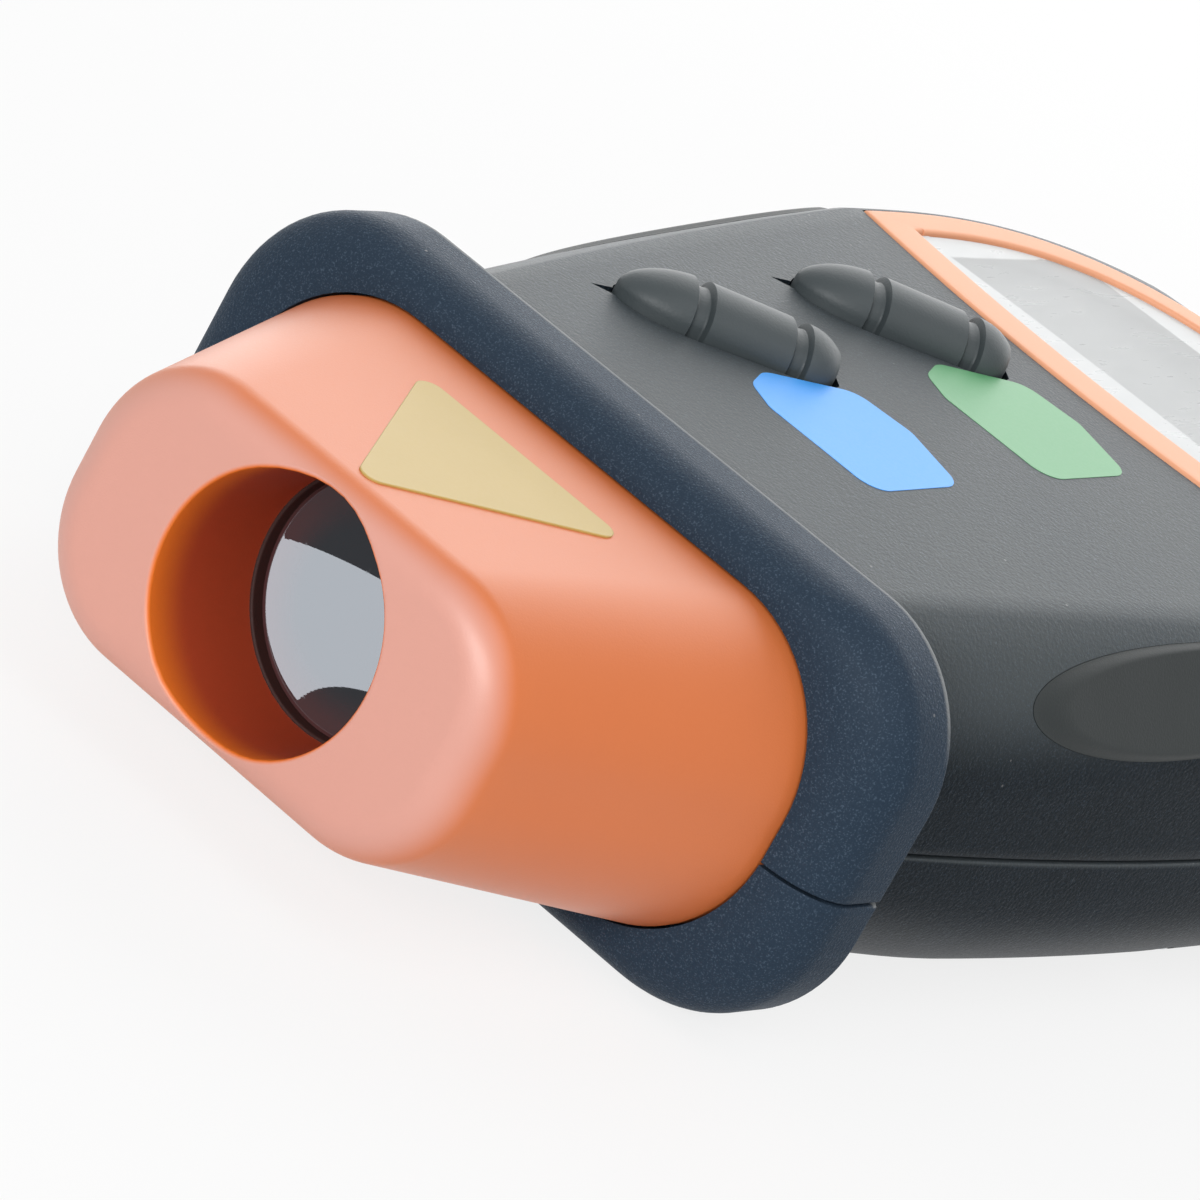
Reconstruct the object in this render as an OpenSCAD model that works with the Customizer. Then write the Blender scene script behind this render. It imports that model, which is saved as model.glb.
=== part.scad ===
// Hand-held laser tachometer, lying on its back: nose towards -Y, display side up.
// The pieces are drawn in a bore frame, with its origin on the bore axis at the
// nose's front face and +Y towards the tail, and place() moves them to the part's frame.

/* [Body] */
// Length from the nose's front face to the tail
total_l = 131; // [126:1:140]
// Widest width of the body, at the display
body_w = 64.4; // [62:0.2:68]
// Width of the body just behind the collar
waist_w = 53.8; // [51:0.2:56]
// Height of the body just behind the collar
waist_h = 28; // [27:0.2:29]
// Length of the rounded tail
tail_reach = 36; // [33:1:40]
// Rounding of the tail's upper and lower edges
tail_edge = 4; // [3:0.5:5]
// Wall thickness of the shells
wall = 2; // [1.6:0.1:2.4]
// Width of the rolled shoulder behind the collar
shoulder_front = 7.1; // [6:0.1:8]
// Width of the rolled shoulder beside the display
shoulder_rear = 3.6; // [3:0.1:4]
// Radius of the lower long edges
belly_r = 12; // [9:0.5:12.5]
// Distance behind the nose's front at which the underside becomes flat
belly_y = 62; // [56:1:64]
// Crown of the display side across its width
crown = 0.4; // [0:0.1:0.8]
// Drop of the shells' parting plane below the bore axis
split_drop = 1.9; // [1.4:0.1:2.4]
// Height of the lower shell's lip, which stands in a rebate of the upper shell
lip_h = 1; // [0.6:0.1:1.4]

/* [Collar] */
// Width of the collar
collar_w = 66.8; // [65.5:0.2:70]
// Height of the collar, which sets the height of the bore axis
collar_h = 32.4; // [31.6:0.2:34]
// Distance from the nose's front face to the collar's back edge
collar_y = 34.6; // [34:0.2:36]
// Depth of the collar's rolled front
collar_roll = 4.2; // [3.4:0.2:5]
// Corner radius of the collar
collar_corner = 11; // [10:0.5:12]
// Rounding of the collar's back rim
rim_r = 0.6; // [0.4:0.1:1.8]
// Hollow fillet between the collar and the body
root_r = 1.2; // [0.8:0.1:1.6]

/* [Nose] */
// Visible length of the nose
nose_l = 26.4; // [25.5:0.2:27]
// Width of the nose at its front
nose_front_w = 38.2; // [36:0.2:40]
// Height of the nose at its front
nose_front_h = 21.6; // [21:0.2:22.4]
// Width of the nose at the collar
nose_back_w = 55.6; // [54:0.2:56.6]
// Height of the nose at the collar
nose_back_h = 25.8; // [25:0.2:26.4]
// Corner radius at the nose's front
nose_front_corner = 9; // [8:0.2:9.6]
// Corner radius at the collar
nose_back_corner = 11.6; // [10.6:0.2:12]
// Rounding of the nose's front edge
nose_edge = 2.6; // [1.6:0.2:3]
// Length of the nose's plug inside the collar
plug_l = 6.8; // [6.2:0.2:7]
// Depth of the groove round the plug
plug_groove = 1.3; // [1:0.1:1.5]

/* [Optics] */
// Diameter of the nose's bore
bore_d = 19.5; // [18.5:0.1:19.8]
// Depth of the bore in front of the lens ring
bore_depth = 11.4; // [10:0.2:12]
// Diameter of the lens
lens_d = 20.2; // [19.9:0.1:20.4]
// Thickness of the lens at its rim
lens_rim = 2; // [1.6:0.1:2.4]
// Height of the lens's domed faces
lens_dome = 1; // [0.7:0.1:1.3]
// Width of the lens ring that shows in the bore
ring_lip = 0.25; // [0.2:0.05:0.5]
// Length of the optics holder's tube
holder_l = 12; // [11:0.5:12.5]
// Wall of the optics holder's tube
holder_wall = 1.4; // [1.2:0.1:1.6]
// Thickness of the optics holder's back wall
holder_back = 3; // [2.5:0.5:3.5]
// Diameter of the laser module
laser_d = 6; // [5:0.5:6.5]
// Length of the laser module
laser_l = 12; // [10:0.5:13]
// Height of the laser module above the bore axis
laser_rise = 4; // [3.8:0.1:4.4]
// Diameter of the photo sensor
sensor_d = 5; // [4:0.5:5]
// Drop of the photo sensor below the bore axis
sensor_drop = 4; // [3.6:0.1:4.4]

/* [Sticker] */
// Width of the sticker's rear edge
sticker_w = 19; // [17:0.5:21]
// Distance from the nose's front to the sticker's rear edge
sticker_y = 20.4; // [19:0.2:22]
// Length of the sticker
sticker_l = 17.4; // [14:0.2:18]
// Thickness of the sticker
sticker_t = 0.15; // [0.1:0.05:0.3]
// Corner radius of the sticker
sticker_corner = 1.2; // [0.6:0.2:2]

/* [Keys] */
// Length of a key
key_l = 17.6; // [16:0.2:18.4]
// Width of a key
key_w = 6.8; // [6:0.2:7.2]
// Height of a key above the face
key_h = 3.2; // [2.6:0.1:3.6]
// Height of the keys' straight flank above the face
key_flank = 0.6; // [0.4:0.1:1]
// Slant of the keys from straight across
key_angle = 48.8; // [44:0.2:54]
// Distance of the keys' middles from the centre line
key_x = 12; // [11:0.2:13]
// Place of the memory key between the collar and the display frame, as a share
mem_share = 0.395; // [0.37:0.005:0.42]
// Place of the test key between the collar and the display frame, as a share
test_share = 0.79; // [0.77:0.005:0.8]
// Travel of a key
key_travel = 0.8; // [0.4:0.1:1]
// Depth of the keys' cross grooves
key_groove = 0.6; // [0.3:0.1:0.8]
// Width of the keys' cross grooves
key_groove_w = 1.2; // [0.8:0.1:1.4]
// Clearance around a key in its opening
key_gap = 0.4; // [0.3:0.05:0.5]
// Extra room in front of a key's pointed end
key_bow_gap = 1.4; // [0.6:0.1:1.6]
// Thickness of the keys' retaining flange
key_flange = 0.8; // [0.6:0.1:1]
// Side of a key switch
switch_w = 6; // [5:0.5:6.5]
// Diameter of a key switch's plunger
plunger_d = 3.4; // [3:0.1:3.6]

/* [Display] */
// Distance from the display frame's front edge to the body's widest place
frame_lead = 2.6; // [1.6:0.2:3.6]
// Bow of the display frame's front edge
frame_bow = 4.4; // [3:0.2:5]
// Margin between the display frame and the body's side
frame_margin = 4; // [3.8:0.1:4.4]
// Margin between the display frame and the tail
frame_tail = 3; // [3:0.1:4]
// Width of the display frame's front strip
frame_front = 4.4; // [3.6:0.2:5]
// Width of the display frame's side strips
frame_side = 2.9; // [2.4:0.1:3.4]
// Depth of the display frame's seat in the face
frame_t = 1.2; // [1:0.1:1.4]
// Height of the display frame above the face
frame_proud = 0.2; // [0.1:0.1:0.4]
// Width of the ledge under the display window
window_ledge = 1.6; // [1.2:0.1:2]
// Width of the display panel
lcd_w = 46; // [42:1:46]
// Depth of the display panel
lcd_l = 21; // [19:0.5:21.5]
// Thickness of the display panel
lcd_t = 2.4; // [2:0.1:2.6]

/* [Board] */
// Width of the main board
board_w = 42; // [38:1:42]
// Distance from the nose's front to the board's front edge
board_y = 48; // [47.5:0.5:49]
// Distance from the board's rear edge to the tail
board_tail = 13; // [12:0.5:17]
// Thickness of the main board
board_t = 1.6; // [1:0.1:1.8]
// Height of the board's upper face above the bore axis
board_z = 8.2; // [7.8:0.1:8.6]
// Diameter of the board's standoffs
standoff_d = 5; // [4.4:0.2:5.4]

/* [Screws] */
// Diameter of the screws' shanks
screw_d = 2.4; // [2:0.1:2.6]
// Diameter of the case screws' heads
case_head_d = 5.2; // [4.8:0.1:5.6]
// Diameter of the case posts
post_d = 8; // [7.4:0.2:8.4]
// Depth of the case screws' heads above the underside
case_head_z = 5; // [4.6:0.2:5.4]
// Half distance between the front case screws
post_front_x = 19; // [18:0.2:19.6]
// Distance from the nose's front to the front case screws
post_front_y = 41.4; // [40.6:0.2:41.8]
// Half distance between the rear case screws
post_rear_x = 26; // [25.6:0.2:26.4]
// Distance from the rear case screws to the body's widest place
post_rear = 5; // [4:1:9]

/* [Battery] */
// Width of the battery
battery_w = 26.5; // [25.5:0.1:26.5]
// Length of the battery's can
battery_l = 46.4; // [45:0.2:47]
// Thickness of the battery
battery_t = 17.5; // [16.5:0.1:17.5]
// Distance from the battery's rear end to the tail
battery_tail = 12.6; // [12:0.2:13.6]
// Width of the battery door
door_w = 29; // [28:0.2:30]
// Distance from the door's front edge to the battery
door_lead = 4; // [3:0.5:6]
// Thickness of the battery door
door_t = 1.9; // [1.6:0.1:2]
// Travel of the battery door
door_travel = 10; // [6:1:12]
// Length of the battery door's hooks
hook_l = 6; // [5:0.5:7]
// Thickness of the battery door's hooks
hook_t = 1; // [0.8:0.1:1.1]
// Reach of the hooks behind the shell's floor
hook_reach = 1.2; // [1:0.1:1.4]
// Thickness of the battery bay's walls
bay_t = 1.2; // [1:0.1:1.6]

/* [Grips] */
// Place of the grip pads' middle between the collar and the body's widest place, as a share
grip_share = 0.69; // [0.62:0.01:0.72]
// Length of a grip pad, as a share of the same distance
grip_reach = 0.82; // [0.7:0.01:0.9]
// Height of a grip pad's rim above the shell
grip_rim = 0.6; // [0.4:0.1:1.1]
// Depth of a grip pad's dished middle below the shell
grip_dish = 0.35; // [0.2:0.05:0.4]
// Depth of a grip pad's seat in the shell
grip_seat = 0.8; // [0.6:0.1:1]

/* [Fits] */
// Clearance of pieces that are fixed together
fit = 0.15; // [0.1:0.05:0.2]
// Clearance of pieces that slide past each other
slide = 0.35; // [0.3:0.05:0.45]

/* [Hidden] */
$fn = 48;
arc_n = 6;
axis_z = collar_h / 2;
split_z = -split_drop;
wide_y = total_l - tail_reach;
roof_angle = 62;
far = 200;
overlap = 0.4;
face_k = (collar_h - waist_h) / 2;
ring_t = lens_dome + fit;
lens_y = bore_depth + ring_t;
holder_y = lens_y + lens_rim;
seat_r = lens_d / 2 + fit;
pocket_h = nose_back_h / 2 - 2.6;
pocket_w = nose_front_w / 2;
groove_y = nose_l + 3;
groove_w = 1.7;
plug_end = nose_l + plug_l;
window_t = frame_t - fit;
tip_l = 6.4;
tail_l = 2.6;
skirt = 1.4;
key_stations = [0.34, 0.8];
frame_y = wide_y - frame_lead;
keys_y = [mix(collar_y, frame_y, mem_share), mix(collar_y, frame_y, test_share)];
board_bottom = board_z - board_t;
board_l = total_l - board_tail - board_y;
switch_h = 2;
switch_wall = 0.5;
battery_y = total_l - battery_tail - battery_l;
door_y = battery_y - door_lead;
snap_t = 5;
door_clear = 0.15;
floor_z = wall - axis_z;
post_rear_y = wide_y - post_rear;
front_posts = [[-post_front_x, post_front_y], [post_front_x, post_front_y]];
rear_posts = [[-post_rear_x, post_rear_y], [post_rear_x, post_rear_y]];
posts = concat(front_posts, rear_posts);
board_inset = 3;
post_bite = 8;
board_bite = 3;
thread_gap = 0.1;
screw_slack = 0.5;
standoff_shares = [0.2, 0.6];
standoffs = [for (x = [-1, 1], t = standoff_shares)
    [x * (board_w / 2 - board_inset), board_y + t * board_l]];

// Rules of the form

function clamp01(t) = min(max(t, 0), 1);
function mix(a, b, t) = a + (b - a) * t;
function ease(t, p) = 1 - pow(1 - clamp01(t), p);
function along(y, end) = (y - collar_y) / (end - collar_y);
function tail_drop(y) = let (v = clamp01((y - total_l + tail_edge) / tail_edge))
    tail_edge * (1 - sqrt(1 - v * v));
function tail_plan(half, reach, y) = half * pow(1 - pow(clamp01((y - wide_y) / reach), 3), 1 / 3);
function body_half(y) = y < wide_y
    ? mix(waist_w, body_w, ease(along(y, wide_y), 2)) / 2
    : tail_plan(body_w / 2, tail_reach + 0.5, y);
function face_z(y) = waist_h / 2 + face_k * ease(along(y, wide_y), 1.25);
function belly_z(y) = waist_h / 2 + face_k * ease(along(y, belly_y), 1.5);
function shoulder(y) = mix(shoulder_front, shoulder_rear, pow(clamp01(along(y, wide_y)), 2));
function shoulder_r(y) = shoulder(y) / (1 - cos(roof_angle));
function nose_half(y) = mix(nose_front_w, nose_back_w, clamp01(y / nose_l)) / 2;
function nose_rise(y) = mix(nose_front_h, nose_back_h, clamp01(y / nose_l)) / 2;
function nose_corner(y) = mix(nose_front_corner, nose_back_corner, clamp01(y / nose_l));

// Sections

function arc(x, z, r, from, to, n = arc_n) =
    [for (i = [0 : n]) [x + r * cos(mix(from, to, i / n)), z + r * sin(mix(from, to, i / n))]];

// Closed section: two lower corners of radius rb, two shoulders of radius rt that
// meet the top at the angle phi, and a top with a slight crown.
function section(w, top, bottom, rt, phi, rb, rise = 0) =
    let (zc = top - rt * sin(phi), e = w - rt + rt * cos(phi))
    concat(
        arc(w - rb, rb - bottom, rb, -90, 0),
        arc(w - rt, zc, rt, 0, phi),
        [for (k = [0.5, 0, -0.5]) [k * e, top + rise * (1 - k * k)]],
        arc(rt - w, zc, rt, 180 - phi, 180),
        arc(rb - w, rb - bottom, rb, 180, 270));

function rounded(w, h, r) = section(w, h, h, r, 90, r);
function ring(y, points) = [for (p = points) [p[0], y, p[1]]];

function body_section(y, inset = 0) =
    let (w = body_half(y) - inset, drop = tail_drop(y) + inset)
    section(w, face_z(y) - drop, belly_z(y) - drop, shoulder_r(y) - inset, roof_angle,
        min(belly_r, 0.85 * body_half(y)) - inset, inset > 0 ? 0 : crown);

// Skins, from rings with the same number of points

module loft(rings) {
    n = len(rings[0]);
    m = len(rings);
    polyhedron(
        points = [for (r = rings) each r],
        faces = concat(
            [[for (i = [n - 1 : -1 : 0]) i]],
            [for (k = [0 : m - 2], i = [0 : n - 1], t = [0, 1])
                let (a = k * n + i, b = k * n + (i + 1) % n)
                t == 0 ? [a, b, a + n] : [b, b + n, a + n]],
            [[for (i = [0 : n - 1]) (m - 1) * n + i]]));
}

// Straight prism along +Y from a section
module prism(points, from, to) {
    translate([0, to, 0]) rotate([90, 0, 0]) linear_extrude(to - from) polygon(points);
}

module tube_y(r, from, to) {
    translate([0, from, 0]) rotate([-90, 0, 0]) cylinder(r = r, h = to - from);
}

module block(x0, x1, y0, y1, z0, z1) {
    translate([x0, y0, z0]) cube([x1 - x0, y1 - y0, z1 - z0]);
}

module place() {
    translate([0, -total_l / 2, axis_z]) children();
}

// Housing

collar_front = [for (i = [0 : 5]) let (a = 90 * i / 5)
    ring(nose_l + collar_roll * (1 - cos(a)),
        rounded(mix(nose_back_w / 2 + fit, collar_w / 2, sin(a)),
            mix(nose_back_h / 2 + fit, collar_h / 2, sin(a)),
            mix(nose_back_corner, collar_corner, sin(a))))];
collar_back = [for (i = [0 : 3]) let (a = 30 * i, d = rim_r * (1 - cos(a)))
    ring(collar_y - rim_r * (1 - sin(a)),
        rounded(collar_w / 2 - d, collar_h / 2 - d, collar_corner - d))];
collar_root = [for (i = [0 : 3])
    let (a = 30 * i, y = collar_y + root_r * (1 - cos(a)))
    ring(y, body_section(y, -root_r * (1 - sin(a))))];
body_steps = 8;
body_rings = [for (i = [1 : body_steps])
    let (y = mix(collar_y + root_r, wide_y, i / body_steps)) ring(y, body_section(y))];
tail_steps = 9;
tail_rings = [for (i = [1 : tail_steps])
    let (y = wide_y + tail_reach * sin(90 * i / tail_steps)) ring(y, body_section(y))];

module housing_skin() {
    loft(concat(collar_front, collar_back, collar_root, body_rings, tail_rings));
}

cavity_y = plug_end + 0.3;
cavity_steps = 12;
cavity_end = total_l - wall;
module housing_cavity() {
    loft([for (i = [0 : cavity_steps])
        let (y = mix(cavity_y, cavity_end, sin(90 * i / cavity_steps)))
        ring(y, body_section(y, wall))]);
}

// Rim along the parting plane, up to a height above it
lip_inset = wall / 2;
module rim_band(inset, height) {
    intersection() {
        loft([for (i = [0 : cavity_steps])
            let (y = mix(cavity_y + wall, total_l - inset, sin(90 * i / cavity_steps)))
            ring(y, body_section(y, inset))]);
        block(-far, far, -far, far, split_z - overlap, split_z + height);
    }
}

module nose_seat() {
    w = nose_back_w / 2 + fit;
    h = nose_back_h / 2 + fit;
    prism(rounded(w, h, nose_back_corner), nose_l - 1, groove_y + fit);
    prism(rounded(w - plug_groove, h - plug_groove, nose_back_corner - plug_groove),
        nose_l, cavity_y + overlap);
    prism(rounded(w, h, nose_back_corner), groove_y + groove_w - fit, cavity_y);
}

module shell_half() {
    difference() {
        housing_skin();
        housing_cavity();
        nose_seat();
        children();
    }
}

// Grip pads: an oval on the rolled shoulder, dished in the middle

grip_y = mix(collar_y, wide_y, grip_share);
grip_l = grip_reach * (wide_y - collar_y);
grip_angle = 30;
grip_spread = 23;
grip_n = 28;
grip_gap = 0.1;
grip_rings = [0.35, 0.7, 0.9, 1];
function grip_height(r) = r == 1 ? grip_gap : mix(-grip_dish, grip_rim, r * r);
function grip_point(r, a, d, grow) =
    let (y = grip_y + (grip_l / 2 + grow) * r * cos(a),
        q = grip_angle + (grip_spread + grow * 4) * r * sin(a),
        s = shoulder_r(y))
    [body_half(y) - s + (s + d) * cos(q), y, face_z(y) - s * sin(roof_angle) + (s + d) * sin(q)];

module grip_solid(depth, lift, grow, side) {
    outer = [for (r = grip_rings) [for (i = [0 : grip_n - 1])
        grip_point(r, 360 * i / grip_n, lift > 0 ? lift : grip_height(r), grow)]];
    inner = [for (r = grip_rings) [for (i = [0 : grip_n - 1])
        grip_point(r, 360 * i / grip_n, -depth, grow)]];
    mirror([side < 0 ? 1 : 0, 0, 0]) loft(concat(outer, [for (k = [3 : -1 : 0]) inner[k]]));
}

// Keys: a torpedo that is pointed towards the nose's far side

function key_half(u) = key_w / 2 * (u < tip_l ? sqrt(1 - pow(1 - u / tip_l, 2))
    : sqrt(1 - 0.75 * key_end(u)));
function key_bow(u) = u < tip_l ? pow(1 - u / tip_l, 2) : 0;
function outline_u(i) = key_l * (1 - cos(15 * i)) / 2;
function key_outline(grow, bow) = concat(
    [[-bow - grow, 0]],
    [for (i = [1 : 12]) let (u = outline_u(i)) [u + grow * i / 12, -key_half(u) - grow]],
    [for (i = [12 : -1 : 1]) let (u = outline_u(i)) [u + grow * i / 12, key_half(u) + grow]]);

function groove_far(u) = min([for (k = key_stations) abs(u - k * key_l)]);
function groove_at(u) = groove_far(u) < key_groove_w / 2 ? key_groove : 0;
key_us = concat(
    [for (u = [0.4 : 0.8 : 5.2]) u],
    [for (k = key_stations, d = [-0.52, -0.46, 0.46, 0.52]) k * key_l + d * key_groove_w],
    [for (i = [0 : 4]) key_l - tail_l * cos(90 * i / 4)]);

function key_end(u) = u > key_l - tail_l ? pow((u - key_l + tail_l) / tail_l, 2) : 0;
function key_top(u) = key_h * sqrt(1 - 0.5 * key_bow(u)) * sqrt(1 - 0.5 * key_end(u));
function key_ring(u, base) =
    let (g = groove_at(u), w = key_half(u) - g, top = key_top(u) - g)
    concat([[u, -w, base]],
        [for (i = [0 : 8]) let (a = 180 - 22.5 * i)
            [u, w * cos(a), key_flank + (top - key_flank) * sin(a)]],
        [[u, w, base]]);

module at_key(y) {
    translate([-key_x, y, face_z(y)]) rotate(key_angle) translate([-key_l / 2, 0, 0]) children();
}

module key_opening(y) {
    at_key(y) translate([0, 0, -wall * 2.5]) linear_extrude(far)
        polygon(key_outline(key_gap, key_bow_gap));
}

neck_inset = 0.25;
neck_back = 0.8;
flange_lap = 0.6;
flange_top = -wall - key_travel;
plunger_proud = 0.5;
plunger_clear = 0.3;
function stem_bottom(y) = board_z + switch_h + plunger_proud - face_z(y);
module key(y) {
    at_key(y) {
        loft([for (u = key_us) key_ring(u, -skirt)]);
        translate([0, 0, flange_top]) linear_extrude(-flange_top - skirt / 2)
            polygon(key_outline(-neck_inset, -neck_back));
        translate([0, 0, flange_top - key_flange]) linear_extrude(key_flange)
            polygon(key_outline(key_gap + flange_lap, 0));
        translate([key_l / 2, 0, stem_bottom(y)])
            cylinder(d = plunger_d, h = flange_top - key_flange / 2 - stem_bottom(y));
    }
}

module key_plunger(y) {
    low = switch_wall + plunger_clear + key_travel;
    translate([-key_x, y, board_z + low]) cylinder(d = plunger_d, h = switch_h + plunger_proud - low);
}

module key_switch(y) {
    translate([-key_x, y, board_z]) difference() {
        translate([-switch_w / 2, -switch_w / 2, 0]) cube([switch_w, switch_w, switch_h]);
        translate([0, 0, switch_wall]) cylinder(d = plunger_d + 2 * slide, h = switch_h);
    }
}

// Display frame outline: a bowed front edge, straight sides and a rear that follows the tail

frame_half = body_w / 2 - frame_margin;
frame_reach = tail_reach - frame_tail;
function frame_outline(inset, front) =
    let (h = frame_half - inset, reach = frame_reach - inset,
        front_y = frame_y + front)
    concat(
        [for (i = [-8 : 8]) let (x = h * i / 8) [x, front_y + frame_bow * pow(x / frame_half, 2)]],
        [for (i = [0 : 24])
            let (c = cos(7.5 * i), s = sin(7.5 * i), k = pow(pow(abs(c), 3) + pow(s, 3), -1 / 3))
            [h * c * k, max(wide_y + reach * s * k, front_y + frame_bow + overlap)]]);

module frame_cut(inset, front, from, to) {
    translate([0, 0, from]) linear_extrude(to - from) polygon(frame_outline(inset, front));
}

frame_top = collar_h / 2 + frame_proud;
frame_floor = frame_top - frame_t - frame_proud;
lcd_lead = 3;
lcd_y = frame_y + frame_front + lcd_lead;
lcd_top = frame_floor - wall + 0.4;

module display_cut() {
    frame_cut(-fit, -fit, frame_floor, far);
    frame_cut(frame_side + window_ledge, frame_front + window_ledge, 0, far);
}

// Posts and standoffs

module posts_at(list, z0, z1, d) {
    for (p = list) translate([p[0], p[1], z0]) cylinder(d = d, h = z1 - z0);
}

// Posts end inside the shell's wall
module post_limit() {
    loft([for (y = [post_front_y - post_d, belly_y, post_rear_y + post_d])
        ring(y, body_section(y, wall / 2))]);
}

module upper_shell() color("#2b2d30") place() difference() {
    union() {
        shell_half() {
            block(-far, far, -far, far, -far, split_z);
            for (y = keys_y) key_opening(y);
            display_cut();
            rim_band(lip_inset, lip_h + fit);
            for (side = [-1, 1]) grip_solid(grip_seat + grip_gap, 2 * wall, grip_gap, side);
        }
        intersection() {
            posts_at(posts, split_z, face_z(post_front_y), post_d - 1);
            post_limit();
        }
        for (p = standoffs) translate([p[0], p[1], board_z])
            cylinder(d = standoff_d, h = face_z(p[1]) - wall + overlap - board_z);
    }
    posts_at(posts, split_z - 1, split_z + post_bite + 1, screw_d + thread_gap);
    posts_at(standoffs, board_z - 1, board_z + board_bite + 1, screw_d + thread_gap);
}

module door_opening() {
    x = door_w / 2 + slide;
    block(-x, x, door_y - slide, total_l + 1, -far, floor_z + 0.3);
}

// Walls beside and in front of the battery, clear of the door's hooks
bay_x = door_w / 2 + slide + hook_reach + slide;
bay_y = battery_y - snap_t - bay_t;
bay_top = split_z - bay_t;
module battery_bay() {
    for (s = [0, 1]) mirror([s, 0, 0])
        block(bay_x, bay_x + bay_t, bay_y - bay_t, battery_y + battery_l, floor_z - overlap, bay_top);
    block(-bay_x - bay_t / 2, bay_x + bay_t / 2, bay_y - bay_t, bay_y, floor_z - overlap, bay_top);
}

module lower_shell() color("#25272a") place() difference() {
    union() {
        shell_half() block(-far, far, -far, far, split_z, far);
        difference() {
            rim_band(lip_inset + fit, lip_h);
            housing_cavity();
        }
        battery_bay();
        intersection() {
            posts_at(posts, -axis_z, split_z, post_d);
            post_limit();
        }
    }
    door_opening();
    posts_at(posts, -far, case_head_z - axis_z, case_head_d + screw_slack);
    posts_at(posts, -far, far, screw_d + screw_slack);
}

function nose_ring(y, inset) =
    ring(y, rounded(nose_half(y) - inset, nose_rise(y) - inset, nose_corner(y) - inset));

module nose_cone() color("#dc7442") place() difference() {
    loft(concat(
        [for (i = [0 : 5]) let (a = 90 * i / 5)
            nose_ring(nose_edge * (1 - cos(a)), nose_edge * (1 - sin(a)))],
        [for (y = [nose_l / 2, nose_l, groove_y]) nose_ring(y, 0)],
        [for (y = [groove_y, groove_y + groove_w])
            nose_ring(y, plug_groove)],
        [for (y = [groove_y + groove_w, plug_end]) nose_ring(y, 0)]));
    tube_y(bore_d / 2, -1, bore_depth + overlap);
    tube_y(seat_r, bore_depth, holder_y + overlap);
    prism(rounded(pocket_w, pocket_h, pocket_h * 0.9), holder_y, far);
}

module nose_sticker() color("#e8c552") place() {
    slope = atan2(nose_back_h - nose_front_h, 2 * nose_l);
    r = sticker_corner;
    translate([0, 0, nose_front_h / 2]) rotate([slope, 0, 0]) translate([0, sticker_y, 0])
        linear_extrude(sticker_t) hull() {
            for (x = [-1, 1]) translate([x * (sticker_w / 2 - r), -r]) circle(r);
            translate([0, r - sticker_l]) circle(r);
        }
}

module lens_ring() color("#15161a") place() difference() {
    tube_y(lens_d / 2, bore_depth, lens_y);
    tube_y(bore_d / 2 - ring_lip, bore_depth - 1, lens_y + 1);
}

dome_half = bore_d / 2 - ring_lip - 0.2;
dome_r = (pow(dome_half, 2) + pow(lens_dome, 2)) / (2 * lens_dome);
dome_a = asin(dome_half / dome_r);
dome_back = 0.8;
module lens() color("#7d8b9c") place()
    translate([0, lens_y, 0]) rotate([-90, 0, 0]) rotate_extrude()
    polygon(concat(
        [for (i = [0 : 8]) let (a = dome_a * i / 8)
            [dome_r * sin(a), dome_r - lens_dome - dome_r * cos(a)]],
        [[lens_d / 2, 0], [lens_d / 2, lens_rim]],
        [for (i = [0 : 8]) let (a = dome_a * (8 - i) / 8)
            [dome_back * dome_r * sin(a), lens_rim + dome_back * (dome_r * cos(a) - dome_r + lens_dome)]]));

holder_r = pocket_h - fit;
holder_end = holder_y + holder_l + holder_back;
seat_gap = 0.05;
module optics_holder() color("#202124") place() difference() {
    tube_y(holder_r, holder_y, holder_end);
    tube_y(holder_r - holder_wall, holder_y - 1, holder_y + holder_l);
    translate([0, 0, laser_rise]) tube_y(laser_d / 2 + seat_gap, holder_y, far);
    translate([0, 0, -sensor_drop]) tube_y(sensor_d / 2 + seat_gap, holder_y, far);
}

module laser_module() color("#b98f45") place() translate([0, 0, laser_rise])
    difference() {
        tube_y(laser_d / 2, holder_end - laser_l, holder_end + 1);
        tube_y(laser_d / 4, holder_y, holder_end - laser_l + 1);
    }

module photo_sensor() color("#3a2f3f") place() translate([0, holder_y + holder_l, -sensor_drop])
    rotate([-90, 0, 0]) rotate_extrude()
        polygon(concat(
            [for (i = [0 : 6]) [sensor_d / 2 * sin(15 * i), -1 - sensor_d / 2 * cos(15 * i)]],
            [[sensor_d / 2, holder_back + 1], [0, holder_back + 1]]));

module main_board() color("#2f6b3c") place() difference() {
    block(-board_w / 2, board_w / 2, board_y, board_y + board_l, board_bottom, board_z);
    posts_at(standoffs, 0, far, screw_d + screw_slack);
}

chip_w = 10;
chip_t = 1.6;
chip_at = [board_w / 20, board_y + 0.2 * board_l];
module controller_chip() color("#1c1d20") place()
    block(chip_at[0], chip_at[0] + chip_w, chip_at[1], chip_at[1] + chip_w, board_z, board_z + chip_t);

crystal_h = 3.4;
crystal_r = 2.2;
crystal_half = 3.2;
crystal_at = [board_w / 5, board_y + 0.44 * board_l];
module crystal() color("#b9bcc0") place()
    translate([crystal_at[0], crystal_at[1], board_z]) linear_extrude(crystal_h) hull()
        for (x = [-crystal_half, crystal_half]) translate([x, 0]) circle(crystal_r);

module lcd_panel() color("#c9d0c6") place()
    block(-lcd_w / 2, lcd_w / 2, lcd_y, lcd_y + lcd_l, lcd_top - lcd_t, lcd_top);

strip_w = 2.4;
strip_ys = [lcd_y + overlap, board_y + board_l - strip_w - overlap];
module contact_strips() color("#d9a7a0") place() for (y = strip_ys)
    block(-board_w / 2 + 1, board_w / 2 - 1, y, y + strip_w, board_z, lcd_top - lcd_t);

module lcd_window() color("#d5dde0") place()
    frame_cut(frame_side + fit, frame_front + fit, frame_floor, frame_floor + window_t);

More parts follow.
